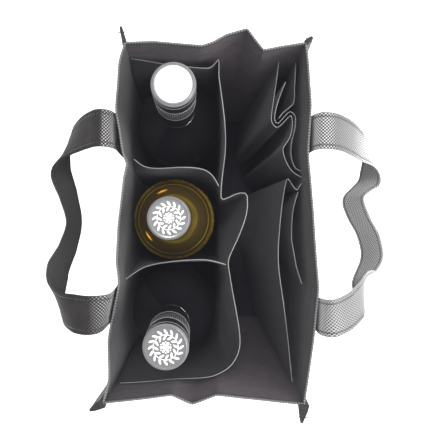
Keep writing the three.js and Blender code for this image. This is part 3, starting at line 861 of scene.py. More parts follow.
# %% Lay the base board
BOARD_GAP = 1.4 * MM
bpy.ops.object.select_all(action="DESELECT")
board_low = base_low + Vector((BOARD_GAP, BOARD_GAP, 2 * CLOTH_THICK))
board_high = base_high - Vector((BOARD_GAP, BOARD_GAP, 0))
bpy.ops.mesh.primitive_cube_add(size=1, location=(board_low + board_high) / 2)
board = bpy.context.object
board.name = "base_board"
board.scale = board_high - board_low
bpy.ops.object.transform_apply(location=False, rotation=False, scale=True)
apply_modifier(board, "BEVEL", width=0.5 * MM, segments=3, limit_method="ANGLE")
bpy.ops.object.mode_set(mode="EDIT")
bpy.ops.mesh.select_all(action="SELECT")
bpy.ops.mesh.subdivide(number_cuts=2)
bpy.ops.object.mode_set(mode="OBJECT")
layer = board.data.uv_layers.new(name="flat")
for loop in board.data.loops:
    place = board.data.vertices[loop.vertex_index].co + board.location
    layer.data[loop.index].uv = (place.x, place.y + OFF_EDGE)
finish_piece(board, [sheet_cloth], ["base_panel"])
print("The board is", [round(side / MM, 1) for side in board_high - board_low], "mm")

# %% [markdown]
# Pocket fronts and dividers are single sheets of the same cloth. Each is lofted from its packed lines, made a
# little longer so that it reaches the cloth it is sewn to, given faint upright ripples, and thickened. Its
# cut edges take the pale edge material.

# %% Loft the pocket sheets
SHEET_THICK = 0.65 * MM
SHEET_COLUMN = 2.4 * MM
SHEET_ROW = 5 * MM
SEWN_REACH = 0.9 * MM
RIPPLE = 0.45 * MM
LEFT_STRIP = [f"pocket_front_left_{part}" for part in ("back", "middle", "front")]
LONE_SHEETS = [
    "divider_left_back", "divider_left_front", "pocket_front_right_back", "divider_right_back",
    "pocket_end_right_back", "pocket_front_right_front", "divider_right_front",
]


def sheet_rows(heights):
    """Even heights from a sheet's lowest level to its highest."""
    return np.linspace(heights[0], heights[-1], round((heights[-1] - heights[0]) / SHEET_ROW) + 1)


def longer(lines):
    """The lines with both end points moved out along the line, into the cloth they are sewn to."""
    lines = lines.copy()
    for end, inner in ((0, 1), (-1, -2)):
        lines[:, end] += unit(lines[:, end] - lines[:, inner]) * SEWN_REACH
    return lines


def joined_lines(nodes):
    """Heights and lines of packed sheets that follow each other, as those of one sheet."""
    heights, lines = cloth[nodes[0]]
    for node in nodes[1:]:
        more = cloth[node][1]
        ends = [(a, b) for a in lines[-1][[0, -1]] for b in more[-1][[0, -1]]]
        nearest = int(np.argmin([np.linalg.norm(a - b) for a, b in ends]))
        lines = lines[:, ::-1] if nearest < 2 else lines
        more = more[:, ::-1] if nearest % 2 else more
        lines = np.concatenate([lines[:, :-1], (lines[:, -1:] + more[:, :1]) / 2, more[:, 1:]], axis=1)
    return heights, longer(lines)


def pocket_sheet(name, nodes, seed):
    """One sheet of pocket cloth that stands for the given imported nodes, in order along it."""
    heights, lines = joined_lines(nodes)
    run = run_along((lines[-1] + lines[0]) / 2)
    columns = np.linspace(0, run[-1], round(run[-1] / SHEET_COLUMN) + 1)
    rows = sheet_rows(heights)
    grid = lofted(heights, lines, rows, run, columns)
    top_run = run_along(grid[-1])
    flat = np.dstack(np.meshgrid(top_run, rows[-1] - rows))
    soft = dents(flat, 9 * MM, 60 * MM, seed) + 0.6 * dents(flat, 26 * MM, 40 * MM, seed + 10)
    share = (rows - rows[0]) / (rows[-1] - rows[0])
    fade = np.clip((1 - share) / 0.25, 0.12, 1)[:, None]
    sides = np.clip(np.minimum(columns, columns[-1] - columns) / (12 * MM), 0, 1)[None, :]
    sheet = grid_piece(name, pushed(grid, RIPPLE * soft * fade * sides), flat)
    thicken(sheet, SHEET_THICK)
    finish_piece(sheet, [sheet_cloth, cut_edge], nodes)


pocket_sheet("pocket_strip_left", LEFT_STRIP, 3.0)
for seed, node in enumerate(LONE_SHEETS):
    pocket_sheet(node + "_cloth", [node], 20.0 + seed)

# %% [markdown]
# At each corner two walls are sewn together with their edges outside, which leaves a fin of two plies down
# the corner. The fin is lofted from the imported seam and thickened. Near the top the plies gape where they
# leave the walls, most of all at the front corners, so the fin gets thicker there: a vertex group tells
# Solidify how much. The inner edge of the fin is set on the body's own ring, so that no gap shows. The top of
# the fin at the back right is drawn shorter, as a fin folded over at its tip looks.

# %% Corner seams
FIN_THICK = 1.9 * MM
FIN_COLUMNS = 6
PAST_WORN_EDGE = 4 * MM  # added to the flat place of a fin, which has no worn top edge
GAPES_DOWN = 70 * MM  # from the rim
GAPES = {"seam_back_left": 3, "seam_front_left": 7, "seam_front_right": 8, "seam_back_right": 4}
LEFT_STANDING = 0.6  # of the fin that is folded over
top_line = cloth["seam_back_right"][1][-1]
wall_end = top_line[np.argmin(np.linalg.norm(top_line, axis=1))].copy()
top_line[:] = wall_end + (top_line - wall_end) * LEFT_STANDING


def corner_seam(node, seed):
    """The sewn fin at one corner."""
    gape = GAPES[node] * MM
    heights, lines = cloth[node]
    rows = sheet_rows(heights)
    knots = np.arange(float(lines.shape[1]))
    grid = lofted(heights, lines, rows, knots, np.linspace(0, knots[-1], FIN_COLUMNS))
    flat = np.dstack(np.meshgrid(run_along(grid[-1]), rows[-1] - rows))
    share_out = np.linspace(0, 1, FIN_COLUMNS)[None, :]
    if np.linalg.norm(lines[-1][0]) > np.linalg.norm(lines[-1][-1]):
        share_out = share_out[:, ::-1]
    grid = pushed(grid, 0.9 * MM * share_out * dents(flat, 40 * MM, 16 * MM, seed))
    inner = int(np.argmin(share_out[0]))
    ring = ring_at(rows)
    nearest = np.argmin(np.linalg.norm(ring - grid[:, inner : inner + 1], axis=2), axis=1)
    grid[:, inner] = ring[np.arange(len(rows)), nearest]
    fin = grid_piece(node + "_fin", grid, flat + np.array([0, PAST_WORN_EDGE]))
    rise = np.clip(1 - (rows[-1] - rows) / GAPES_DOWN, 0, 1)[:, None]
    thick = FIN_THICK + (gape - FIN_THICK) * rise * (1 - share_out)
    spread = fin.vertex_groups.new(name="spread")
    for index, depth in enumerate(thick.ravel()):
        spread.add([index], float(depth / gape), "REPLACE")
    apply_modifier(fin, "SOLIDIFY", thickness=gape, offset=0, vertex_group="spread")
    finish_piece(fin, [outside_cloth], [node])


for seed, node in enumerate(seams):
    corner_seam(node, 40.0 + seed)
    print(node, "is sewn")

# %% [markdown]
# A handle is a flat strap of folded cloth: both long edges are turned in and sewn down, so the
# edges are thicker than the middle and a stitched groove runs a few millimetres in from each.
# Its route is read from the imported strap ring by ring, starting from the end rings that are sewn
# to the wall, and a new cross-section is swept along it.

# %% Read the straps
STRAP_STEP = 2 * MM
SEWN_NEAR = 7 * MM  # an end ring is no further than this from the strap's innermost point


def strap_rings(node):
    """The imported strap's rings of four corners, in order along it."""
    mesh = joined_mesh(node)
    near = min(abs(v.co.x) for v in mesh.verts) + SEWN_NEAR
    sewn_z = min(v.co.z for v in mesh.verts if abs(v.co.x) < near)
    ring = [v for v in mesh.verts if v.co.z < sewn_z + MM and abs(v.co.x) < near and v.co.y > 0]
    seen, rings = set(ring), []
    while ring:
        rings.append(np.array([v.co for v in ring]))
        ring = list({e.other_vert(v) for v in ring for e in v.link_edges} - seen)
        seen.update(ring)
    mesh.free()
    return rings


def strap_frame(node):
    """Along a strap: its centre, the direction across it and its normal, in even steps."""
    rings = strap_rings(node)
    centres = np.array([ring.mean(axis=0) for ring in rings])
    across = []
    for ring, centre in zip(rings, centres):
        direction = np.linalg.svd(ring - centre)[2][0]
        if across and direction @ across[-1] < 0:
            direction = -direction
        across.append(direction)
    run = run_along(centres)
    at = np.linspace(0, run[-1], round(run[-1] / STRAP_STEP) + 1)
    centre = through(run, centres, at)
    wide = through(run, np.array(across), at)
    ahead = unit(np.gradient(centre, axis=0))
    wide = unit(wide - ahead * (wide * ahead).sum(axis=1, keepdims=True))
    return at, centre, wide, np.cross(ahead, wide)


STRAP_WIDE = float(np.linalg.norm(np.ptp(strap_rings("handle_left")[0], axis=0)))
straps = {node: strap_frame(node) for node in ("handle_left", "handle_right")}
for node, (at, *_) in straps.items():
    print(f"{node}: {len(at)} steps over {at[-1] / MM:.0f} mm, {STRAP_WIDE / MM:.1f} mm wide")

# %% [markdown]
# The section is thick at its turned-in edges, thin in the middle and sunk where it is stitched.
# It is laid round the route step by step as one closed mesh, because a curve with a bevel can't
# turn a flat strap the way that this one twists. A little noise keeps the free part from being
# stiff.

# %% Sweep the straps
STITCH_IN = 3.2 * MM  # from the strap's edge to its row of stitches
EDGE_THICK = 1.5 * MM
MIDDLE_THICK = 1.0 * MM
TURNED_IN = 6.5 * MM
GROOVE_DEEP, GROOVE_WIDE = 0.22 * MM, 0.6 * MM
SEWN_LONG = 32 * MM  # of each end, against the wall
SECTION_POINTS = 35
strap_faces = {}


def strap_section():
    """Half thickness across the strap, from one edge to the other."""
    places = np.linspace(-STRAP_WIDE / 2, STRAP_WIDE / 2, SECTION_POINTS)
    from_edge = STRAP_WIDE / 2 - np.abs(places)
    turned_in = 1 / (1 + np.exp((from_edge - TURNED_IN) / (0.4 * MM)))
    half = (MIDDLE_THICK + (EDGE_THICK - MIDDLE_THICK) * turned_in) / 2
    half -= GROOVE_DEEP * np.exp(-(((from_edge - STITCH_IN) / GROOVE_WIDE) ** 2))
    rounding = np.clip(from_edge / (0.7 * MM), 0, 1)
    return places, half * np.sqrt(1 - (1 - rounding) ** 2 * 0.96)


def sweep_strap(node, seed):
    """The strap as one closed mesh round its whole section, with flat coordinates."""
    at, centre, wide, normal = straps[node]
    places, half = strap_section()
    flat_face = np.dstack(np.meshgrid(places, at))
    from_end = np.minimum(at, at[-1] - at)
    free = np.clip((from_end - SEWN_LONG) / (20 * MM), 0, 1)[:, None]
    wave = free * 0.5 * MM * dents(flat_face[..., ::-1], 40 * MM, 20 * MM, seed)
    middle = centre[:, None] + wide[:, None] * places[None, :, None] + normal[:, None] * wave[..., None]
    lift = normal[:, None] * half[None, :, None]
    strap_faces[node] = {1: middle + lift, -1: middle - lift}
    loops = np.concatenate([middle + lift, (middle - lift)[:, ::-1]], axis=1)
    across = np.concatenate([places, places[::-1]])
    rows, round_it = loops.shape[:2]
    faces = grid_quads(rows, round_it, ring=True)
    for row, turn in ((0, 1), (rows - 1, -1)):
        for j in range(round_it // 2 - 1):
            quad = [row * round_it + n for n in (j, j + 1, round_it - 2 - j, round_it - 1 - j)]
            faces.append(tuple(quad[::turn]))
    strap = mesh_piece(node + "_strap", loops.reshape(-1, 3), faces)
    layer = strap.data.uv_layers.new(name="flat")
    for loop in strap.data.loops:
        row, place = divmod(loop.vertex_index, round_it)
        layer.data[loop.index].uv = (at[row], OFF_EDGE + across[place])
    turn_faces_out(strap)
    return finish_piece(strap, [strap_cloths[node]], [node])


for seed, node in enumerate(straps):
    strap = sweep_strap(node, 60.0 + seed)
    print(strap.name, "has", len(strap.data.polygons), "faces")

# %% [markdown]
# Each long edge of a strap has its row of stitches, seen on both faces. Each end is sewn to the
# wall with a box and a cross. A strap's surface is a grid, so a stitch line is a line in the
# grid's own coordinates: how far along the strap and how far across it.

# %% Stitch the straps
STITCH_PITCH = 3.1 * MM
STITCH_ENDS = (0.15, 0.85)  # where a stitch starts and ends in its pitch


def on_strap(node, face, along, across):
    """A point on a strap's face, from how far along and across it lies."""
    grid = strap_faces[node][face]
    row = along / straps[node][0][-1] * (grid.shape[0] - 1)
    column = (across / STRAP_WIDE + 0.5) * (grid.shape[1] - 1)
    i, j = min(int(row), grid.shape[0] - 2), min(int(column), grid.shape[1] - 2)
    s, t = row - i, column - j
    near = grid[i, j] * (1 - t) + grid[i, j + 1] * t
    far = grid[i + 1, j] * (1 - t) + grid[i + 1, j + 1] * t
    return near * (1 - s) + far * s


def stitch_line(node, face, start, end):
    """Places of stitches on a strap's face, from start to end (each along, across)."""
    start, end = np.array(start), np.array(end)
    count = max(2, round(np.linalg.norm(end - start) / STITCH_PITCH))
    at, normals = straps[node][0], straps[node][3]
    places = []
    for n in range(count):
        here, there = (start + (end - start) * (n + part) / count for part in STITCH_ENDS)
        a, b = on_strap(node, face, *here), on_strap(node, face, *there)
        up = normals[int(here[0] / at[-1] * (len(normals) - 1))] * face
        places.append(placed((a + b) / 2 + up * 0.05 * MM, b - a, up))
    return places


edge = STRAP_WIDE / 2 - STITCH_IN
for node, (at, *_) in straps.items():
    places = []
    for face in (1, -1):
        for across in (edge, -edge):
            places += stitch_line(node, face, (3 * MM, across), (at[-1] - 3 * MM, across))
        for end, way in ((0, 1), (at[-1], -1)):
            low, high = end + way * 5 * MM, end + way * (SEWN_LONG - 2 * MM)
            box = [(low, -edge), (low, edge), (high, -edge), (high, edge), (low, -edge)]
            places += [p for a, b in zip(box, box[1:]) for p in stitch_line(node, face, a, b)]
    sewn = joined_copies(node + "_stitches", stitch, places)
    finish_piece(sewn, [thread])
    print(sewn.name, "holds", len(places), "stitches")

# %% [markdown]
# The hem is sewn down with a row of stitches that shows inside the wall and outside on the hem.

# %% Stitch the hem
STITCH_GAP = 0.4 * MM


def hem_stitches(depth, out, face):
    """Places round the body at a depth below the rim, out from the body's middle."""
    line, normals = body_below_rim(depth)
    line = line + normals * out
    closed = np.concatenate([line, line[:1]])
    run = run_along(closed)
    at = np.arange(0, run[-1], STITCH_PITCH)
    starts = through(run, closed, at + STITCH_GAP)
    ends = through(run, closed, at + STITCH_PITCH - STITCH_GAP)
    ups = normals[np.clip(np.searchsorted(run, at) - 1, 0, len(normals) - 1)] * face
    return [placed((a + b) / 2, b - a, up) for a, b, up in zip(starts, ends, ups)]


stitch_down = HEM_DEEP - 2.5 * MM
places = hem_stitches(stitch_down, 1.2 * MM, 1) + hem_stitches(stitch_down, -0.45 * MM, -1)
sewn = joined_copies("hem_stitches", stitch, places)
finish_piece(sewn, [thread])
print(sewn.name, "holds", len(places), "stitches")

# %% [markdown]
# The ends of the corner seams are not cut clean, so short ends of thread stand up at all four
# corners. A thread end is a thin tube round a curling line, closed at both ends. The curl grows
# with the distance from the seam, as it does where nothing holds the thread.

# %% Thread ends
THREAD_RADIUS = 0.4 * MM
THREAD_SIDES = 8
THREAD_STEPS = 12
CURL = 1.6 * MM


def thread_end(name, start, lean_out, long, seed):
    """A short end of thread that stands up from a corner and curls."""
    steps = np.linspace(0, 1, THREAD_STEPS)
    curl = np.array([[math.sin(5 * s + seed), math.cos(4 * s + seed), 0] for s in steps])
    route = np.array(start) + np.outer(steps * long, lean_out) + curl * (steps * CURL)[:, None]
    ahead = unit(np.gradient(route, axis=0))
    across = unit(np.cross(ahead, [0.3, 0.2, 0.9]))
    other = np.cross(ahead, across)
    turns = np.arange(THREAD_SIDES) * math.tau / THREAD_SIDES
    rings = [route + THREAD_RADIUS * (across * math.cos(t) + other * math.sin(t)) for t in turns]
    grid = np.array(rings).transpose(1, 0, 2)
    last = (THREAD_STEPS - 1) * THREAD_SIDES
    caps = [tuple(range(THREAD_SIDES))[::-1], tuple(range(last, last + THREAD_SIDES))]
    faces = grid_quads(THREAD_STEPS, THREAD_SIDES, ring=True) + caps
    end = mesh_piece(name, grid.reshape(-1, 3), faces)
    turn_faces_out(end)
    finish_piece(end, [pale_thread])


print("A thread end is", 2 * THREAD_RADIUS / MM, "mm thick")

# %% [markdown]
# The raw edge of each corner fin is overlocked: a loop of thread goes over it on both faces every
# few millimetres, and a chain runs along it. Both are rows of small beads that follow the fin's
# outer edge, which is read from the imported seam.

# %% Sew the corner seams
OVERLOCK_PITCH = 2.4 * MM
loop_stitch = small_bead((3.0 * MM, 0.5 * MM, 0.5 * MM))
edge_stitch = small_bead((2.6 * MM, 0.6 * MM, 0.5 * MM))


def seam_edge(node):
    """Points up a fin's outer edge, with the ways inwards, upwards and sideways there."""
    heights, lines = cloth[node]
    outer = -1 if np.linalg.norm(lines[-1][-1]) > np.linalg.norm(lines[-1][0]) else 0
    rows = np.arange(heights[0] + 4 * MM, heights[-1] - MM, OVERLOCK_PITCH)
    line = through(heights, lines, rows)
    points = np.dstack([line, np.repeat(rows[:, None], line.shape[1], axis=1)])
    tips = points[:, outer]
    inward = unit(points[:, 1 if outer == 0 else -2] - tips)
    upward = np.gradient(tips, axis=0)
    return tips, inward, upward, unit(np.cross(inward, upward))


for number, node in enumerate(seams):
    tips, inward, upward, sideways = seam_edge(node)
    places = []
    for tip, way, rise, side in zip(tips, inward, upward, sideways):
        for face in (1, -1):
            middle = tip + way * 1.3 * MM + side * face * (FIN_THICK / 2 + 0.1 * MM)
            places.append(placed(middle, way + 0.25 * unit(rise), side * face))
    loops = joined_copies(node + "_loops", loop_stitch, places)
    finish_piece(loops, [pale_thread])
    places = [placed(tip - way * 0.15 * MM, rise, -way) for tip, way, rise in zip(tips, inward, upward)]
    chain = joined_copies(node + "_chain", edge_stitch, places)
    finish_piece(chain, [pale_thread])
    top, way = tips[-1] + np.array([0, 0, 0.5 * MM]), inward[-1]
    for end, (turn, long) in enumerate([(1.4, 3.5), (-1.2, 3.0)]):
        out = unit(-way * 0.4 + np.array([turn * way[1], -turn * way[0], 0.3]))
        start = top + way * (end + 1.5) * 2.2 * MM
        thread_end(f"{node}_thread_{end + 1}", start, out, long * MM, number + 2.0 * end)
    print(node, "has", 2 * len(tips), "overlock loops and 2 thread ends")

# %% [markdown]
# Bottles and caps are turned: a profile of (radius, height) points is drawn by extruding one
# point, spun round the upright axis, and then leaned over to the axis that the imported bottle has.
# That axis runs from the middle of the bottle's foot to the middle of its cap's top.

# %% Helpers for turned pieces
TURN_STEPS = 96


def turned_piece(name, profile):
    """A profile of (radius, height) points in metres, spun about the Z axis."""
    bpy.ops.object.select_all(action="DESELECT")
    bpy.ops.mesh.primitive_plane_add(size=MM)
    piece = bpy.context.object
    piece.name = name
    bpy.ops.object.mode_set(mode="EDIT")
    bpy.ops.mesh.select_mode(type="VERT")
    bpy.ops.mesh.select_all(action="SELECT")
    bpy.ops.mesh.merge(type="CENTER")
    bpy.ops.transform.translate(value=(profile[0][0], 0, profile[0][1]))
    for (r0, h0), (r1, h1) in zip(profile, profile[1:]):
        bpy.ops.mesh.extrude_vertices_move(TRANSFORM_OT_translate={"value": (r1 - r0, 0, h1 - h0)})
    bpy.ops.mesh.select_all(action="SELECT")
    bpy.ops.mesh.spin(steps=TURN_STEPS, angle=math.tau, center=(0, 0, 0), axis=(0, 0, 1))
    bpy.ops.mesh.select_all(action="SELECT")
    bpy.ops.mesh.remove_doubles(threshold=0.02 * MM)
    bpy.ops.object.mode_set(mode="OBJECT")
    turn_faces_out(piece)
    return piece


def side_map(piece):
    """A UV map in metres: round the piece, and height along its axis."""
    radius = max(v.co.xy.length for v in piece.data.vertices)
    layer = piece.data.uv_layers.new(name="side")
    for face in piece.data.polygons:
        middle = math.atan2(face.center.y, face.center.x)
        for loop in face.loop_indices:
            place = piece.data.vertices[piece.data.loops[loop].vertex_index].co
            turn = math.atan2(place.y, place.x) if place.xy.length > 0.01 * MM else middle
            turn += math.tau * round((middle - turn) / math.tau)
            layer.data[loop].uv = (turn * radius, place.z)


def lean(piece, sizes):
    """Sets a piece that stands at the origin on its bottle's foot, along the bottle's axis."""
    piece.rotation_euler = Vector((0, 0, 1)).rotation_difference(sizes["axis"]).to_euler()
    piece.location = sizes["foot"]


print("Turned pieces have", TURN_STEPS, "steps")

# %% [markdown]
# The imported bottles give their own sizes: a turned piece has a pole at each end, the points of
# its straight body lie furthest from the axis, and those of its neck share one smaller radius.

# %% Measure the bottles
POLE_EDGES = 30  # more edges than this meet only at a pole


def poles(node):
    """The points of a packed turned piece that lie on its axis, lowest first."""
    mesh = joined_mesh(node)
    found = [v.co.copy() for v in mesh.verts if len(v.link_edges) >= POLE_EDGES]
    mesh.free()
    return sorted(found, key=lambda point: point.z)


def measure_bottle(place):
    """The foot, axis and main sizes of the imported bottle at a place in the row."""
    foot, top = poles(f"bottle_{place}")[0], poles(f"cap_{place}")[-1]
    axis = (top - foot).normalized()
    mesh = joined_mesh(f"bottle_{place}")
    up = np.array([(v.co - foot).dot(axis) for v in mesh.verts])
    out = np.array([(v.co - foot - axis * (v.co - foot).dot(axis)).length for v in mesh.verts])
    mesh.free()
    body = out.max()
    neck = out[up > up.max() - MM].max()
    on_neck = (abs(out - neck) < 0.05 * MM) & (up > 0.5 * up.max())
    return {
        "foot": foot,
        "axis": axis,
        "height": (top - foot).length,
        "body": body,
        "neck": neck,
        "mouth": up.max(),
        "shoulder": up[out > body - 0.05 * MM].max(),
        "throat": up[on_neck].min(),
    }


bottles = {place: measure_bottle(place) for place in ("back", "middle", "front")}
for place, sizes in bottles.items():
    print(place, {key: round(value / MM, 1) for key, value in sizes.items() if isinstance(value, float)})

# %% [markdown]
# Light that runs round inside the clear bottle's thick wall comes out where the shoulder turns,
# as rings of brighter olive. Rays that find their way so are rare, and a render of a few samples
# would miss them, so the light_rings group draws the rings from how far up the shoulder a point
# is. Noise that is stretched round the bottle makes them uneven.

# %% The light rings group
RING_STOPS = [  # share of the way up the shoulder, and how bright the glass is there
    (0.0, 0.8), (0.1, 1.0), (0.3, 1.0), (0.36, 0.5), (0.4, 0.04), (0.44, 0.04), (0.46, 0.8),
    (0.48, 0.03), (0.67, 0.03), (0.73, 0.32), (0.84, 0.06), (1.0, 0.04),
]
STREAK_STRETCH = (0.03, 2.4, 1)
STREAKS, STIPPLES = 700, 480  # in a metre

light_rings, given, made = new_group("light_rings", "Side place", {"Low": 0.18, "High": 0.23}, ("Glow",))
place = given["Side place"]
share = map_range(light_rings, split(light_rings, place)[1], given["Low"], given["High"])
rings = colour_ramp(light_rings, share, [(stop, (glow,) * 3) for stop, glow in RING_STOPS])
stretched = add_node(light_rings, "VectorMath", [(0, place), (1, STREAK_STRETCH)], operation="MULTIPLY")
streaks = noise_texture(light_rings, stretched.outputs[0], STREAKS, 2)
cells = add_node(light_rings, "TexVoronoi", [("Vector", place), ("Scale", STIPPLES)])
stipple = map_range(light_rings, cells.outputs["Distance"], 0.4, 0.2)
dots = calculate(light_rings, "MULTIPLY", stipple, map_range(light_rings, share, 0.38, 0.3))
uneven = map_range(light_rings, streaks, 0.35, 0.7)
texture = calculate(light_rings, "MULTIPLY_ADD", uneven, 0.58, 0.1)
texture = calculate(light_rings, "ADD", texture, dots)
wire(light_rings, made, [("Glow", calculate(light_rings, "MULTIPLY", rings, texture, clamp=True))])
print("light_rings has", len(RING_STOPS), "stops up the shoulder")

# %% [markdown]
# The dark bottles let nothing through, so they are a near-black gloss. The middle one is clear
# olive-yellow glass full of white wine. Glass is never perfectly even, so each has a faint
# waviness in its surface, and the outside is a little dusty.

# %% Glass and wine materials
def glass_material(name, colour, clear, roughness, wave, ior=1.5):
    """Glass with a slight waviness; clear is the share of light that passes through."""
    material, tree, shader = new_material(name)
    place = object_place(tree)
    if roughness:
        roughness = map_range(tree, noise_texture(tree, place, 400, 3), 0.4, 0.8, *roughness)
    wire(tree, shader, [
        ("Base Color", colour),
        ("Roughness", roughness),
        ("Normal", bump(tree, noise_texture(tree, place, 60, 1), wave)),
        ("Transmission Weight", clear),
        ("IOR", ior),
    ])
    return material, tree, shader


black_glass, tree, shader = glass_material("black_glass", (0.004, 0.004, 0.0045), 0.0, (0.05, 0.14), 0.2 * MM)
shader.inputs["Specular IOR Level"].default_value = 0.9
white_wine = glass_material("white_wine", (0.9, 0.735, 0.24), 1.0, 0.0, 0.02 * MM, ior=1.34)[0]
print("Glass:", black_glass.name, white_wine.name)

# %% [markdown]
# The clear bottle's colour runs from deep olive to bright yellow with the painted light rings. Two short
# orange glints lie on its shoulder at the left, where the wine gathers the light of a lamp. No lamp of this
# scene gives them without also spoiling the caps, so they are a faint glow at fixed places.

# %% The clear bottle's glass
GLINTS = [(112, 0.58), (-145, 0.575)]  # degrees round the bottle, share of the way up the shoulder
GLINT_LONG, GLINT_TALL = 8 * MM, 0.022
GLINT_COLOUR = (1.0, 0.47, 0.03)
DEEP_OLIVE, BRIGHT_OLIVE = (0.05, 0.034, 0.009), (0.8, 0.56, 0.05)
sizes = bottles["middle"]

olive_glass, tree, shader = glass_material("olive_glass", DEEP_OLIVE, 0.4, (0.01, 0.05), 0.05 * MM)
place = map_place(tree, "side")
inputs = [("Side place", place), ("Low", sizes["shoulder"]), ("High", sizes["throat"])]
bright = map_range(tree, use_group(tree, light_rings, inputs)["Glow"], 0.0, 0.8)
round_it, up_it, _ = split(tree, place)
shoulder_up = map_range(tree, up_it, sizes["shoulder"], sizes["throat"])
glints = []
for turn, up in GLINTS:
    across = calculate(tree, "SUBTRACT", round_it, math.radians(turn) * sizes["body"])
    across = calculate(tree, "DIVIDE", across, GLINT_LONG)
    above = calculate(tree, "DIVIDE", calculate(tree, "SUBTRACT", shoulder_up, up), GLINT_TALL)
    squares = [calculate(tree, "MULTIPLY", side, side) for side in (across, above)]
    glints.append(calculate(tree, "SUBTRACT", 1.0, calculate(tree, "ADD", *squares), clamp=True))
glow = calculate(tree, "ADD", *glints, clamp=True)
wire(tree, shader, [
    ("Base Color", blend_colour(tree, bright, DEEP_OLIVE, BRIGHT_OLIVE)),
    ("Emission Color", blend_colour(tree, glow, (0, 0, 0), GLINT_COLOUR)),
    ("Emission Strength", 1.0),
    ("Specular Tint", (0.4, 0.34, 0.22)),
    ("Specular IOR Level", 0.2),
])
print("olive_glass has", len(GLINTS), "glints")

# %% [markdown]
# A bottle's outline is straight up to the shoulder and runs into the neck in one S-curve. The
# shoulder stays full before it turns in. The same outline serves the dark bottles, which are
# closed solids here, and the clear one, which becomes a shell of glass 3 mm thick. A rounded
# collar stands out just below the cap's skirt, where screw-cap bottles have one.

# %% Turn the bottles
HEEL = 5 * MM
COLLAR_DEEP = 62.5 * MM  # below the cap's top
COLLAR_OUT = 1.5 * MM
GLASS_WALL = 3 * MM
SHOULDER_STEPS = 28
SHOULDER_BIAS = 1.35


def rounded(radius, height, size, steps=6):
    """A rounded outer corner that starts level at the bottom and ends upright at radius."""
    turns = [math.pi / 2 * n / steps for n in range(steps + 1)]
    return [(radius - size + size * math.sin(t), height + size - size * math.cos(t)) for t in turns]


def shoulder_curve(sizes, inset=0.0):
    """The outline from the top of the straight body to the foot of the neck."""
    curve = []
    for n in range(SHOULDER_STEPS + 1):
        share = n / SHOULDER_STEPS
        fall = (1 + math.cos(math.pi * share**SHOULDER_BIAS)) / 2
        radius = sizes["neck"] + (sizes["body"] - sizes["neck"]) * fall
        curve.append((radius - inset, sizes["shoulder"] + (sizes["throat"] - sizes["shoulder"]) * share))
    return curve


def bottle_outline(sizes):
    """The outline of a bottle from the middle of its foot to its mouth."""
    push_up = [(0, 2.5 * MM), (12 * MM, 2.2 * MM), (22 * MM, 1.2 * MM), (28 * MM, 0)]
    heel = rounded(sizes["body"], 0, HEEL)
    collar_up = sizes["height"] - COLLAR_DEEP
    turns = [math.pi * n / 8 for n in range(9)]
    collar = [(sizes["neck"] + COLLAR_OUT * math.sin(t), collar_up - COLLAR_OUT * math.cos(t)) for t in turns]
    return push_up + heel + shoulder_curve(sizes) + collar + [(sizes["neck"], sizes["mouth"])]


for place in ("back", "front", "middle"):
    sizes = bottles[place]
    outline = bottle_outline(sizes)
    if place == "middle":
        bottle = turned_piece("bottle_middle_glass", outline)
        side_map(bottle)
        apply_modifier(bottle, "SOLIDIFY", thickness=GLASS_WALL, offset=-1, use_even_offset=True)
    else:
        outline += [(sizes["neck"] - 2 * MM, sizes["mouth"]), (0, sizes["mouth"])]
        bottle = turned_piece(f"bottle_{place}_glass", outline)
    lean(bottle, sizes)
    glass, slot = (olive_glass, "amber_glass") if place == "middle" else (black_glass, "dark_glass")
    finish_piece(bottle, [glass], [f"bottle_{place}"])
    print(bottle.name, "has", len(bottle.data.polygons), "faces")

# %% [markdown]
# The wine reaches a third of a millimetre into the glass, so that no film of air shows between
# them, and its level is in the neck just below the cap's skirt, with a small rise at the glass.

# %% Fill the clear bottle
INTO_GLASS = 0.3 * MM
sizes = bottles["middle"]
wine_level = float(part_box("wine_middle")[1].z - sizes["foot"].z)
wine_inset = GLASS_WALL - INTO_GLASS
bore = sizes["neck"] - wine_inset
outline = [(0, wine_inset + 2.5 * MM), (22 * MM, wine_inset + 1.2 * MM)]
outline += rounded(sizes["body"] - wine_inset, wine_inset, HEEL - MM)
outline += shoulder_curve(sizes, wine_inset)
for inwards, down in ((0, 0), (0.8 * MM, 0.6 * MM), (3 * MM, 0.9 * MM), (bore, 0.9 * MM)):
    outline.append((bore - inwards, wine_level - down))
fill = turned_piece("wine_fill", outline)
lean(fill, sizes)
finish_piece(fill, [white_wine], ["wine_middle"])
print("The wine stands", round(wine_level / MM), "mm up the bottle")

# %% [markdown]
# The caps are aluminium, with fine marks of turning. Two are lacquered black. Their disc is left in bare
# satin metal, the ring round it and the grip ribs are a paler grey, and a thin pale line on each bead is
# partly metal where the lacquer is rolled thin and partly a painted highlight where the beads glint.

# %% Cap materials
def cap_material(name, colour, metallic, roughness, turning, specular):
    """Cap metal with fine marks of turning and a few smudges."""
    material, tree, shader = new_material(name)
    place = object_place(tree)
    wire(tree, shader, [
        ("Base Color", colour),
        ("Metallic", metallic),
        ("Roughness", map_range(tree, noise_texture(tree, place, 120, 3), 0.0, 1.0, *roughness)),
        ("Normal", bump(tree, noise_texture(tree, place, 900, 3), turning)),
        ("Specular IOR Level", specular),
    ])
    return material


black_lacquer = cap_material("black_lacquer", (0.006, 0.006, 0.007), 0.0, (0.25, 0.4), 0.01 * MM, 0.2)
pale_grey_lacquer = cap_material("pale_grey_lacquer", (0.11, 0.11, 0.114), 0.0, (0.4, 0.5), 0.01 * MM, 0.08)
bare_metal = cap_material("bare_metal", (0.16, 0.16, 0.163), 0.5, (0.25, 0.35), 0.02 * MM, 0.5)
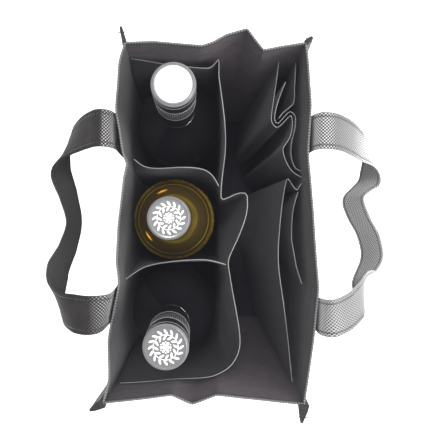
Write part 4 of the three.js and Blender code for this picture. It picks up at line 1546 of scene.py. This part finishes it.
# The bead lines are partly thin lacquer and partly painted highlight.
bead_line_and_glint = cap_material("bead_line_and_glint", (0.3, 0.3, 0.305), 0.3, (0.3, 0.4), 0.01 * MM, 0.3)
white_print = cap_material("white_print", (0.5, 0.5, 0.5), 0.0, (0.3, 0.45), 0.01 * MM, 0.5)
CAP_METALS = (black_lacquer, pale_grey_lacquer, bare_metal, bead_line_and_glint, white_print)
print("Caps:", *[metal.name for metal in CAP_METALS])

# %% [markdown]
# A screw cap is drawn from thin sheet. Its top has a rounded shoulder and a very slightly sunk
# disc, and the skirt has rolled beads, a grooved band, a ribbed band for grip and a plain lower
# end. One outline gives all of these but the ribs, and each face gets its material by its place.

# %% Turn the caps
CAP_RADIUS = 14.9 * MM
CAP_INNER = 13.8 * MM
CAP_LONG = 60 * MM
CAP_SHARP = math.radians(35)
BEADS = (6 * MM, 18 * MM, 36 * MM)  # depths below the cap's top
GROOVES = (9.5 * MM, 12 * MM, 14.5 * MM)
BEAD_OUT = 0.5 * MM
GROOVE_IN = 0.35 * MM
DISC_EDGE = 13 * MM
CAP_TOP = [  # radius and depth below the top, in millimetres
    (0, 0.25), (12.1, 0.25), (12.4, 0.25), (12.8, 0.1), (13.1, 0.06), (13.3, 0), (13.45, 0.1),
    (13.55, 0.4), (13.8, 0.42), (14.1, 0.45), (14.5, 0.8), (14.8, 1.5), (14.9, 2.6), (14.9, 4.6),
]


def cap_outline(height):
    """The outline of the whole cap: over the top from the middle, down, and up the inside."""
    wall = CAP_RADIUS - BEAD_OUT
    outline = [(radius * MM, depth * MM) for radius, depth in CAP_TOP]
    rolled = [(depth, BEAD_OUT, 0.9 * MM) for depth in BEADS]
    rolled += [(depth, -GROOVE_IN, 0.6 * MM) for depth in GROOVES]
    for depth, out, half in sorted(rolled):
        for down, share in ((-1, 0), (-0.5, 0.7), (0, 1), (0.5, 0.7), (1, 0)):
            outline.append((wall + out * share, depth + half * down))
    outline += [(wall, CAP_LONG - 0.3 * MM), (wall - 0.15 * MM, CAP_LONG), (CAP_INNER, CAP_LONG)]
    outline += [(CAP_INNER, 0.7 * MM), (0, 0.7 * MM)]
    return [(radius, height - depth) for radius, depth in outline]


def cap_parts(piece, height):
    """Gives the disc the second material, the beads' crests the third and the shoulder the last."""
    for face in piece.data.polygons:
        depth = height - face.center.z
        out = face.center.xy.length
        on_disc = depth < 0.1 * MM or out < DISC_EDGE and depth < 0.4 * MM
        on_bead = any(abs(depth - bead) < 0.5 * MM for bead in BEADS) and out > CAP_INNER + 0.5 * MM
        on_shoulder = not on_disc and depth < 1.3 * MM and out > DISC_EDGE
        face.material_index = 1 if on_disc else 3 if on_shoulder else 2 * int(on_bead)


for place, sizes in bottles.items():
    cap = turned_piece(f"cap_{place}_metal", cap_outline(sizes["height"]))
    side_map(cap)
    cap_parts(cap, sizes["height"])
    lean(cap, sizes)
    skirt, slot = (bare_metal, "silver_cap") if place == "middle" else (black_lacquer, "black_cap")
    metals = [skirt, bare_metal, bead_line_and_glint, pale_grey_lacquer]
    finish_piece(cap, metals, [f"cap_{place}"], angle=CAP_SHARP)
    print(cap.name, "has", len(cap.data.polygons), "faces")

# %% [markdown]
# The grip band is a row of fine upright ribs. The top of each cap carries a plain ornament, a
# ring of leaves round a flower, printed thick and white so that it stands a little proud.

# %% Ribs and ornaments on the caps
RIB_COUNT = 60
RIB_OUT = 0.42 * MM
RIB_BAND = (20 * MM, 33.5 * MM)  # depths below the cap's top
TWIG_RING = 7.9 * MM
LEAF_TILT = math.radians(38)
DISC_SUNK = 0.25 * MM


def round_places(count, first=0.0):
    """Even angles round the axis, each with the way outwards there."""
    turns = [first + math.tau * n / count for n in range(count)]
    return [(turn, Vector((math.cos(turn), math.sin(turn), 0))) for turn in turns]


def ring_places(count, radius, height, first=0.0, tilt=0.0):
    """Places round the axis with Z up and X turned from outwards by the angle tilt."""
    places = []
    for turn, out in round_places(count, first):
        along = (math.cos(turn + tilt), math.sin(turn + tilt), 0)
        places.append(placed(out * radius + Vector((0, 0, height)), along, (0, 0, 1)))
    return places


def rib_places(height):
    """Places of the ribs round a cap's grip band, with X upright and Z outwards."""
    middle = Vector((0, 0, height - sum(RIB_BAND) / 2))
    wall = CAP_RADIUS - BEAD_OUT
    return [placed(out * wall + middle, (0, 0, 1), out) for _, out in round_places(RIB_COUNT)]


bpy.ops.object.select_all(action="DESELECT")
bpy.ops.mesh.primitive_cube_add(size=1)
rib = bpy.context.object
rib.scale = (RIB_BAND[1] - RIB_BAND[0], 0.7 * MM, 2 * RIB_OUT)
bpy.ops.object.transform_apply(location=False, rotation=False, scale=True)
apply_modifier(rib, "BEVEL", width=0.2 * MM, segments=2)
rib = take_shape(rib)
leaf = small_bead((3.9 * MM, 1.6 * MM, 0.6 * MM), segments=10, rings=6)
petal = small_bead((3.0 * MM, 1.9 * MM, 0.7 * MM), segments=10, rings=6)
dot = small_bead((1.1 * MM, 1.1 * MM, 0.6 * MM))
boss = small_bead((1.9 * MM, 1.9 * MM, 1.0 * MM), segments=16, rings=8)
twig = small_bead((2.6 * MM, 0.7 * MM, 0.5 * MM))

for place, sizes in bottles.items():
    metal, slot = (bare_metal, "silver_cap") if place == "middle" else (pale_grey_lacquer, "black_cap")
    top = sizes["height"] - DISC_SUNK
    parts = {
        "ribs": (rib, rib_places(sizes["height"])),
        "leaves_outer": (leaf, ring_places(16, TWIG_RING + 1.9 * MM, top, 0.0, LEAF_TILT)),
        "leaves_inner": (leaf, ring_places(12, TWIG_RING - 1.7 * MM, top, 0.1, math.pi - LEAF_TILT)),
        "twigs": (twig, ring_places(24, TWIG_RING, top, 0.1, math.pi / 2)),
        "petals": (petal, ring_places(6, 2.4 * MM, top)),
        "dots": (dot, ring_places(6, 3.5 * MM, top, math.tau / 12)),
        "boss": (boss, ring_places(1, 0.0, top)),
    }
    for part, (shape, places) in parts.items():
        piece = joined_copies(f"cap_{place}_{part}", shape, places)
        lean(piece, sizes)
        finish_piece(piece, [metal if part == "ribs" else white_print])
    print(f"The {place} cap has {RIB_COUNT} ribs and an ornament of {len(parts) - 1} parts")

# %% [markdown]
# The light is soft daylight in a pale room. The world gives most of it: an even white that is
# brighter from straight above and a little brighter from the right, so that the tops of things
# stand out and the outside walls stay dark. In mirrors the world is weak, because the bag's real
# surroundings show in the caps and the glass only as a few bright shapes. Those are lamps: a big
# window to the right, a small lamp over the back, and a long strip that only shiny pieces show.
# A softbox overhead does the opposite, and lights the cloth without showing in the glass.

# %% Set the light
ABOVE, RIGHT, ALL_ROUND = 1.5, 0.6, 1.6  # the world's strength from each way
HIDDEN_FROM_MIRRORS = 0.85
world = bpy.data.worlds.new("pale_room")
world.use_nodes = True
bpy.context.scene.world = world
tree = world.node_tree
background = tree.nodes["Background"]
to_right, _, upward = split(tree, add_node(tree, "TexCoord").outputs["Generated"])
from_above = calculate(tree, "POWER", calculate(tree, "MAXIMUM", upward, 0.0), 3.0)
sideways = calculate(tree, "MULTIPLY_ADD", to_right, RIGHT, ALL_ROUND)
strength = calculate(tree, "MULTIPLY_ADD", from_above, ABOVE, sideways)
mirrored = add_node(tree, "LightPath").outputs["Is Glossy Ray"]
seen = calculate(tree, "MULTIPLY_ADD", mirrored, -HIDDEN_FROM_MIRRORS, 1.0)
wire(tree, background, [(0, (1, 1, 1)), (1, calculate(tree, "MULTIPLY", strength, seen))])


def window(name, place, side, power):
    """A square area light aimed at the middle of the bag."""
    light = bpy.data.lights.new(name, "AREA")
    light.size = side
    light.energy = power
    lamp = bpy.data.objects.new(name, light)
    lamp.location = place
    lamp.rotation_euler = (Vector((0, 0, 0.2)) - lamp.location).to_track_quat("-Z", "Y").to_euler()
    bpy.context.scene.collection.objects.link(lamp)
    return lamp


window("window_right", (0.95, -0.1, 0.75), 0.7, 10)
softbox = window("softbox_overhead", (0.4, 0.15, 1.45), 1.1, 5.5)
softbox.visible_glossy = False
window("lamp_back", (-0.05, 0.42, 1.3), 0.2, 5)
strip = window("strip_right", (0.85, 0.05, 0.95), 2.0, 40)
strip.data.shape = "RECTANGLE"
strip.data.size_y = 0.15
strip.visible_diffuse = False
print("Lights:", [light.name for light in bpy.data.lights])

# %% [markdown]
# The floor is plain white. A white background also spreads a pale veil over a photograph's dark
# parts inside the lens, and a black level a little below zero in the colour curve gives the same.

# %% Lay the floor and set the veil
view = bpy.context.scene.view_settings
view.view_transform = "Standard"
view.use_curve_mapping = True
view.curve_mapping.black_level = (-0.009, -0.0085, -0.0105)
view.curve_mapping.update()

floor_paint, tree, shader = new_material("floor_paint")
grain = noise_texture(tree, object_place(tree), 8, 4)
white = blend_colour(tree, grain, (0.86, 0.86, 0.86), (0.9, 0.9, 0.9))
wire(tree, shader, [("Base Color", white), ("Roughness", 0.9)])
bpy.ops.object.select_all(action="DESELECT")
bpy.ops.mesh.primitive_plane_add(size=4)
floor = bpy.context.object
floor.name = "floor"
floor.data.materials.append(floor_paint)
floor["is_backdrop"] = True
print("The floor is", floor.dimensions.x, "m wide")

# %% [markdown]
# The difference between the visual model's box and the imported one's is printed.

# %% Write the sizes and finish
visual_low, visual_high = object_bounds()
growth = [round((b - a) / MM, 1) for a, b in zip([*cad_low, *cad_high], [*visual_low, *visual_high])]
print("The visual box differs from the packed one by", growth, "mm")
